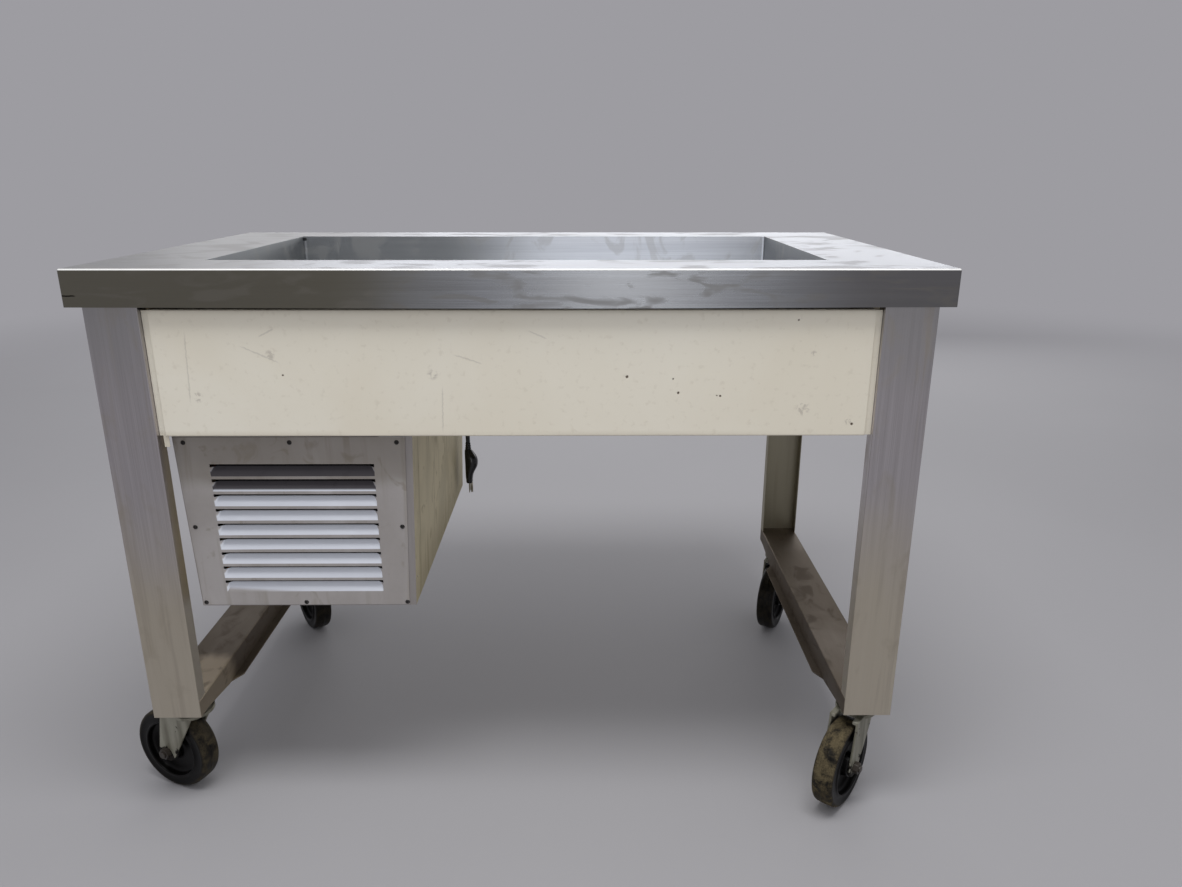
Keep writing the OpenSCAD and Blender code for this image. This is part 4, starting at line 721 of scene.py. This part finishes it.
# A fold has more than so many of its own radii of sheet on both sides; any other edge is a cut one
FOLD_BREADTH = 3


def is_sharp(edge):
    """Whether the surface turns sharply outwards at an edge."""
    return len(edge.link_faces) == 2 and math.degrees(edge.calc_face_angle_signed(0)) > SHARP


def sheet_mesh(node):
    """A CAD node's mesh with its facets joined into whole faces."""
    sheet = bmesh.new()
    sheet.from_mesh(NODES[node].data)
    bmesh.ops.remove_doubles(sheet, verts=sheet.verts, dist=1e-6)
    bmesh.ops.dissolve_limit(sheet, angle_limit=math.radians(0.5), verts=sheet.verts, edges=sheet.edges)
    return sheet


def eased(node, bend, edge, shape=None):
    """A piece in a CAD node's form, its folds rounded to one radius and its cut edges eased by another.
    Where the node has its own rounded folds, bend is 0, and only its shape is changed."""
    sheet = sheet_mesh(node)
    if shape:
        shape(sheet)
    if bend:
        weights = sheet.edges.layers.float.new("bevel_weight_edge")
        for line in sheet.edges:
            if is_sharp(line):
                folded = min(breadth(face) for face in line.link_faces) > FOLD_BREADTH * bend
                line[weights] = 1 if folded else edge / bend
    name = node + "_eased"
    piece = stand_in(name, mesh_of(sheet, name), node)
    if bend:
        ease = piece.modifiers.new("ease", "BEVEL")
        ease.width = bend
        ease.segments = 3
        ease.limit_method = "WEIGHT"
        ease.use_clamp_overlap = False
    level = piece.modifiers.new("level", "WEIGHTED_NORMAL")
    level.keep_sharp = True


# The rims' lower edges, within so much of their lowest level, sag between the legs as far as this share
# of the worktop's half width
RIM_SAG = 0.0018
RIM_CUTS = [i * 0.1 for i in range(-5, 6)]
RIM_EDGE = 0.003
RIM_SAG_REACH = 0.85
# The front left leg's crease: its depth, half width, place as a share of the leg's width, the height where
# it begins, and how far below that it has its full depth
LEG_CREASE = 0.0012
CREASE_HALF = 0.0025
CREASE_PLACE = 0.47
CREASE_TOP = 0.75
CREASE_FADE = 0.2


def cut_across(sheet, axis, places):
    """Cuts all the faces by planes across an axis, so that they can be bent there."""
    for place in places:
        point, normal = Vector((0, 0, 0)), Vector((0, 0, 0))
        point[axis], normal[axis] = place, 1
        bmesh.ops.bisect_plane(sheet, geom=[*sheet.verts, *sheet.edges, *sheet.faces], plane_co=point,
                               plane_no=normal, dist=1e-6)


def sag_rims(sheet):
    """Lets the front and rear rims' lower edges sag a little between the legs, as handling has done."""
    low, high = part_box("worktop")
    cut_across(sheet, 0, RIM_CUTS)
    for vertex in sheet.verts:
        if vertex.co.z < low.z + RIM_EDGE:
            reach = 1 - (vertex.co.x / high.x / RIM_SAG_REACH) ** 2
            vertex.co.z -= RIM_SAG * max(reach, 0)


def part_web(sheet):
    """Parts a leg's bare lower end from its flanges, whose lower edges are the second level from below."""
    levels = sorted({round(vertex.co.z, 5) for vertex in sheet.verts})
    cut_across(sheet, 2, [levels[1]])


def crease_leg(sheet):
    """A shallow upright crease in the front left leg's web, where it was straightened."""
    part_web(sheet)
    low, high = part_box("leg_front_left")
    middle = low.x + (high.x - low.x) * CREASE_PLACE
    cut_across(sheet, 0, [middle - CREASE_HALF, middle, middle + CREASE_HALF])
    for vertex in sheet.verts:
        if abs(vertex.co.x - middle) < 0.0005 and low.z + 0.001 < vertex.co.z:
            vertex.co.y += LEG_CREASE * min(max((CREASE_TOP - vertex.co.z) / CREASE_FADE, 0), 1)


CORNERS = ("fl", "fr", "rl", "rr")
# Nodes with the radii of their folds and of their cut edges, and what else bends them
EASED = [
    (("worktop",), 0, 0, sag_rims),
    (("leg_front_left",), 0.0018, 0.0005, crease_leg),
    (("leg_front_right", "leg_rear_left", "leg_rear_right"), 0.0018, 0.0005, part_web),
    (("rail_left", "rail_right"), 0.0018, 0.0005, None),
    (("front_apron", "rear_apron", "left_apron", "right_apron", "deck_channels"), 0.002, 0.0004, None),
    (("housing_shell", "front_louvre_panel", "rear_louvre_panel", "unit_base", "housing_hangers",
      "pan_jacket", "fan_shroud"), 0.0012, 0.0003, None),
    (("caster_mount_plates", "caster_bolts", "thermostat_box", "terminal_box"), 0.0012, 0.0006, None),
]
CASTER_EDGES = (("fork", 0.002, 0.001), ("head", 0.0015, 0.0008), ("axle", 0.0012, 0.0006))
EASED += [((f"caster_{corner}_{part}",), bend, edge, None)
          for corner in CORNERS for part, bend, edge in CASTER_EDGES]


def ease_sheets():
    """The visible sheet parts, with their folds and cut edges as a shop leaves them."""
    for nodes, bend, edge, shape in EASED:
        for node in nodes:
            eased(node, bend, edge, shape)


# ---- Wheels ----
WHEEL_SEGMENTS = 120
# Half of a wheel's section, from its bore to the middle of its tread: radius, and place along the axle,
# in mm
WHEEL_HALF = [(8.05, 20.4), (8.6, 21), (16.8, 21), (18.6, 20.6), (19.6, 19.6), (19.9, 18), (20.3, 12.4),
              (20.9, 9.6), (22.6, 7.9), (26, 7.2), (34, 6.7), (43, 6.8), (47.6, 7.4), (50.2, 8.8),
              (51.2, 11), (51.5, 15), (51.7, 17.6), (52.2, 19), (53.1, 19.6), (54.1, 19.4), (54.8, 18.5),
              (55.4, 17.6), (58, 17.1), (63, 17), (66.6, 17.7), (69, 18.4), (71, 18.2), (73, 17.2),
              (74.5, 15.6), (75.3, 13.6), (75.6, 11), (75.75, 6), (75.75, 1), (76, 0.5)]
# Radii between which the dust on the tread fades in, in mm
TREAD_RADII = (68.5, 73.5)
# How dusty each wheel's tread is
TREAD_DUST = {"fl": 0.45, "fr": 0.95, "rl": 0.15, "rr": 0.15}


def joint_of(body):
    """The joint that carries a body."""
    return next(joint for joint in frame["joints"] if joint["child"] == body)


def join_rings(form, rings, closed):
    """Quads between rings of the same number of points; the last ring meets the first if closed."""
    made = [[form.verts.new(point) for point in ring] for ring in rings]
    for i in range(len(made) if closed else len(made) - 1):
        first, second = made[i], made[(i + 1) % len(made)]
        for j in range(len(first)):
            k = (j + 1) % len(first)
            form.faces.new((first[j], first[k], second[k], second[j]))
    return made


def make_wheel(corner):
    """A moulded wheel turned round its own axle, its tread marked for the dust that the floor leaves."""
    joint = joint_of(f"caster_{corner}_roller")
    centre = Vector(joint["pos_m"])
    axle = Vector(joint["axis"]).normalized()
    ahead = axle.cross(Vector((0, 0, 1)))
    section = WHEEL_HALF + [(radius, -along) for radius, along in reversed(WHEEL_HALF)]
    rings = []
    for i in range(WHEEL_SEGMENTS):
        turn = 2 * math.pi * i / WHEEL_SEGMENTS
        out = ahead * math.cos(turn) + Vector((0, 0, 1)) * math.sin(turn)
        rings.append([centre + (axle * along + out * radius) * MM for radius, along in section])
    form = bmesh.new()
    tread = form.verts.layers.float.new("tread")
    made = join_rings(form, rings, closed=True)
    for ring in made:
        for vertex, (radius, _) in zip(ring, section):
            part = (radius - TREAD_RADII[0]) / (TREAD_RADII[1] - TREAD_RADII[0])
            vertex[tread] = min(max(part, 0), 1) * TREAD_DUST[corner]
    bmesh.ops.recalc_face_normals(form, faces=form.faces)
    name = f"caster_{corner}_wheel_moulded"
    stand_in(name, mesh_of(form, name, 50), f"caster_{corner}_wheel")


# ---- Screws ----
SCREW_SEGMENTS = 32
SCREW_HEAD_H = 0.0016
SCREW_RECESS = 0.0009
# As shares of the head's radius: its rings, the cross recess's half width and reach, and the shank
SCREW_RINGS = (0.12, 0.3, 0.45, 0.62, 0.8, 0.93, 1.0)
RECESS_HALF = 0.2
RECESS_REACH = 0.7
SCREW_SHANK = 0.52


def islands(node):
    """The boxes of a CAD node's separate solids, as lowest and highest corners, in the mesh's order."""
    mesh = bmesh.new()
    mesh.from_mesh(NODES[node].data)
    bmesh.ops.remove_doubles(mesh, verts=mesh.verts, dist=1e-6)
    seen, boxes = set(), []
    for start in mesh.verts:
        if start in seen:
            continue
        seen.add(start)
        stack, found = [start], []
        while stack:
            vertex = stack.pop()
            found.append(vertex.co.copy())
            for line in vertex.link_edges:
                other = line.other_vert(vertex)
                if other not in seen:
                    seen.add(other)
                    stack.append(other)
        boxes.append((Vector([min(c[i] for c in found) for i in range(3)]),
                      Vector([max(c[i] for c in found) for i in range(3)])))
    mesh.free()
    return boxes


def add_screw(form, low, high):
    """A pan-head screw with a cross recess, its head on the side away from the housing."""
    middle = (low + high) / 2
    radius = (high.x - low.x) / 2
    out = -1 if middle.y < 0 else 1
    tip = low.y if out < 0 else high.y
    inner = high.y if out < 0 else low.y
    turns = [2 * math.pi * i / SCREW_SEGMENTS for i in range(SCREW_SEGMENTS)]
    rings = []
    for part in SCREW_RINGS:
        ring = []
        for turn in turns:
            x, z = math.cos(turn) * part, math.sin(turn) * part
            fall = SCREW_HEAD_H * part ** 3
            in_cross = min(abs(x), abs(z)) < RECESS_HALF and part < RECESS_REACH
            depth = fall + SCREW_RECESS if in_cross else fall
            ring.append(Vector((middle.x + x * radius, tip - out * depth, middle.z + z * radius)))
        rings.append(ring)
    shank = radius * SCREW_SHANK
    for y in (tip - out * SCREW_HEAD_H, inner):
        rings.append([Vector((middle.x + math.cos(turn) * shank, y, middle.z + math.sin(turn) * shank))
                      for turn in turns])
    made = join_rings(form, rings, closed=False)
    form.faces.new(made[0])
    form.faces.new(made[-1])


def make_screws():
    """The panel screws, all in one piece."""
    form = bmesh.new()
    for low, high in islands("panel_screws"):
        add_screw(form, low, high)
    bmesh.ops.recalc_face_normals(form, faces=form.faces)
    stand_in("panel_screw_heads", mesh_of(form, "panel_screw_heads", 40), "panel_screws")


# ---- Plug ----
# Sections of the moulded plug: depth below the cord's end, middle and half sizes in X and Y, in mm
PLUG_SECTIONS = [(0, 0, 4.9, 4.9), (1, 0, 5.4, 5.4), (3, 0, 5.5, 5.5), (4, 0, 4.9, 4.9), (5, 0, 4.9, 4.9),
                 (6, 0, 5.8, 5.8), (8, 0, 6, 6), (9, 0, 5.1, 5.1), (10, 0, 5.1, 5.1), (11, 0, 6.4, 6.4),
                 (13, 0, 6.6, 6.6), (14, 0, 5.6, 5.6), (15, 0, 5.7, 5.7), (16, 0.2, 7.8, 7.8),
                 (20, 1, 8.9, 9.2), (25, 2.7, 10.6, 11.4), (31, 4.6, 12.5, 13.6), (38, 5.8, 13.6, 15.2),
                 (45, 6, 13.7, 15.8), (52, 5.5, 13.2, 15.8), (59, 3.6, 11.3, 15.2), (66, 1.6, 9.3, 14.4),
                 (73, 0.3, 8, 13.4), (79, 0, 7.6, 12.6), (81, 0, 7.4, 12.3), (82, 0, 6.9, 11.6),
                 (83, 0, 6.9, 11.6), (84, 0, 7, 11.9), (88.6, 0, 7, 11.9), (90, 0, 6.2, 11.2)]
PLUG_SEGMENTS = 48
# Below 1, a ring of the plug is a little squarer than an ellipse
PLUG_SQUARENESS = 0.85
PLUG_FACE = 0.090
# The blades and the ground pin, in metres; they begin a little inside the plug's face
BLADE_INSIDE = 0.001
BLADE_L = 0.0219
BLADE_W = 0.0062
BLADE_THICK = 0.0016
BLADE_APART = 0.0127
PIN_R = 0.0024
PIN_X = 0.0045
PIN_LONGER = 0.0016
BLADE_EDGE = 0.0005


def squared(value):
    """A sine or cosine, drawn a little further out."""
    return math.copysign(abs(value) ** PLUG_SQUARENESS, value)


def plug_ring(depth, middle, half_x, half_y):
    """One section of the plug as a ring of points."""
    ring = []
    for i in range(PLUG_SEGMENTS):
        turn = 2 * math.pi * i / PLUG_SEGMENTS
        x = squared(math.cos(turn)) * half_x + middle
        y = squared(math.sin(turn)) * half_y
        ring.append(CORD_DROP[-1] + Vector((x, y, -depth)) * MM)
    return ring


def make_plug():
    """The moulded plug with its ribbed relief, and its two flat blades and ground pin."""
    form = bmesh.new()
    made = join_rings(form, [plug_ring(*section) for section in PLUG_SECTIONS], closed=False)
    form.faces.new(made[0])
    form.faces.new(made[-1])
    bmesh.ops.recalc_face_normals(form, faces=form.faces)
    body = stand_in("plug_body", mesh_of(form, "plug_body", 60), "power_plug")
    subdivided = body.modifiers.new("round", "SUBSURF")
    subdivided.levels = subdivided.render_levels = 1

    form = bmesh.new()
    face = CORD_DROP[-1] - Vector((0, 0, PLUG_FACE - BLADE_INSIDE))
    for side in (-1, 1):
        centre = face + Vector((0, side * BLADE_APART / 2, -BLADE_L / 2))
        size = Matrix.Diagonal((BLADE_THICK, BLADE_W, BLADE_L, 1))
        bmesh.ops.create_cube(form, size=1, matrix=Matrix.Translation(centre) @ size)
    pin_length = BLADE_L + PIN_LONGER
    pin = Matrix.Translation(face + Vector((PIN_X, 0, -pin_length / 2)))
    bmesh.ops.create_cone(form, cap_ends=True, segments=24, radius1=PIN_R, radius2=PIN_R, depth=pin_length,
                          matrix=pin)
    sharp = [line for line in form.edges if is_sharp(line)]
    bmesh.ops.bevel(form, geom=sharp, offset=BLADE_EDGE, segments=2, profile=0.5, affect="EDGES")
    brass = MATERIALS["blade_brass"]
    blades = stand_in("plug_blades", mesh_of(form, "plug_blades", 40), "power_plug", material=brass)
    return [body, blades]


# ---- Stage ----
BACKGROUND = srgb(157, 156, 161)
AMBIENT = srgb(205, 205, 208)
FLOOR_HALF = 40
# Distances from the object between which the floor fades into the background
FLOOR_FADE = (3.2, 6.5)


def make_world():
    """An even light all round, and the background where the camera, metal or glass looks at it."""
    world = bpy.data.worlds.new("studio")
    bpy.context.scene.world = world
    world.use_nodes = True
    tree = world.node_tree
    background = tree.nodes["Background"]
    path = tree.nodes.new("ShaderNodeLightPath")
    seen = path.outputs["Is Camera Ray"]
    for ray in ("Is Glossy Ray", "Is Transmission Ray"):
        either = tree.nodes.new("ShaderNodeMath")
        either.operation = "MAXIMUM"
        tree.links.new(seen, either.inputs[0])
        tree.links.new(path.outputs[ray], either.inputs[1])
        seen = either.outputs[0]
    tone = tree.nodes.new("ShaderNodeMix")
    tone.data_type = "RGBA"
    tone.inputs[6].default_value = AMBIENT
    tone.inputs[7].default_value = BACKGROUND
    tree.links.new(seen, tone.inputs[0])
    tree.links.new(tone.outputs[2], background.inputs["Color"])
    background.inputs["Strength"].default_value = 1


def make_floor():
    """A matt grey floor that fades into the background far from the object."""
    mesh = bpy.data.meshes.new("floor")
    corners = [(x * FLOOR_HALF, y * FLOOR_HALF, 0) for x, y in ((-1, -1), (1, -1), (1, 1), (-1, 1))]
    mesh.from_pydata(corners, [], [(0, 1, 2, 3)])
    floor = linked("floor", mesh)
    made = Surface("floor", srgb(152, 151, 154), roughness=0.8)
    made.colour(made.mix(made.noise((0.8, 0.8, 0.8), detail=2), srgb(149, 148, 151), srgb(156, 155, 158)))
    glow = made.node("Emission")
    glow.inputs["Color"].default_value = BACKGROUND
    far = made.node("VectorMath", operation="LENGTH")
    made.feed(far.inputs[0], made.coordinates.outputs["Object"])
    fade = made.node("MixShader")
    made.feed(fade.inputs[0], made.step(far.outputs["Value"], *FLOOR_FADE))
    made.feed(fade.inputs[1], made.shader.outputs[0])
    made.feed(fade.inputs[2], glow.outputs[0])
    made.feed(made.tree.nodes["Material Output"].inputs["Surface"], fade.outputs[0])
    mesh.materials.append(made.material)


# Lamps: name, place, the place they aim at, size in metres, and power in watts
LAMPS = [
    ("overhead", (0.1, -0.95, 3.3), (0.0, -0.3, 0.8), (2.0, 0.9), 62),
    ("front_strip", (0.33, -4.4, 0.95), (0.15, -0.3, 0.85), (0.7, 1.7), 6),
    ("rear_card", (0.5, 4.0, 1.5), (0.2, 0.0, 0.9), (6.4, 1.3), 54),
]


def area_light(name, place, aim, size, power):
    """A rectangular lamp that the camera doesn't see."""
    data = bpy.data.lights.new(name, "AREA")
    data.shape = "RECTANGLE"
    data.size, data.size_y = size
    data.energy = power
    lamp = linked(name, data)
    lamp.location = place
    lamp.rotation_euler = (Vector(aim) - Vector(place)).to_track_quat("-Z", "Y").to_euler()
    lamp.visible_camera = False


make_camera()
dress_nodes()
ease_sheets()
for corner in CORNERS:
    make_wheel(corner)
make_screws()
make_cord(make_plug())
make_world()
make_floor()
for lamp in LAMPS:
    area_light(*lamp)

bpy.context.scene.view_settings.view_transform = "Standard"
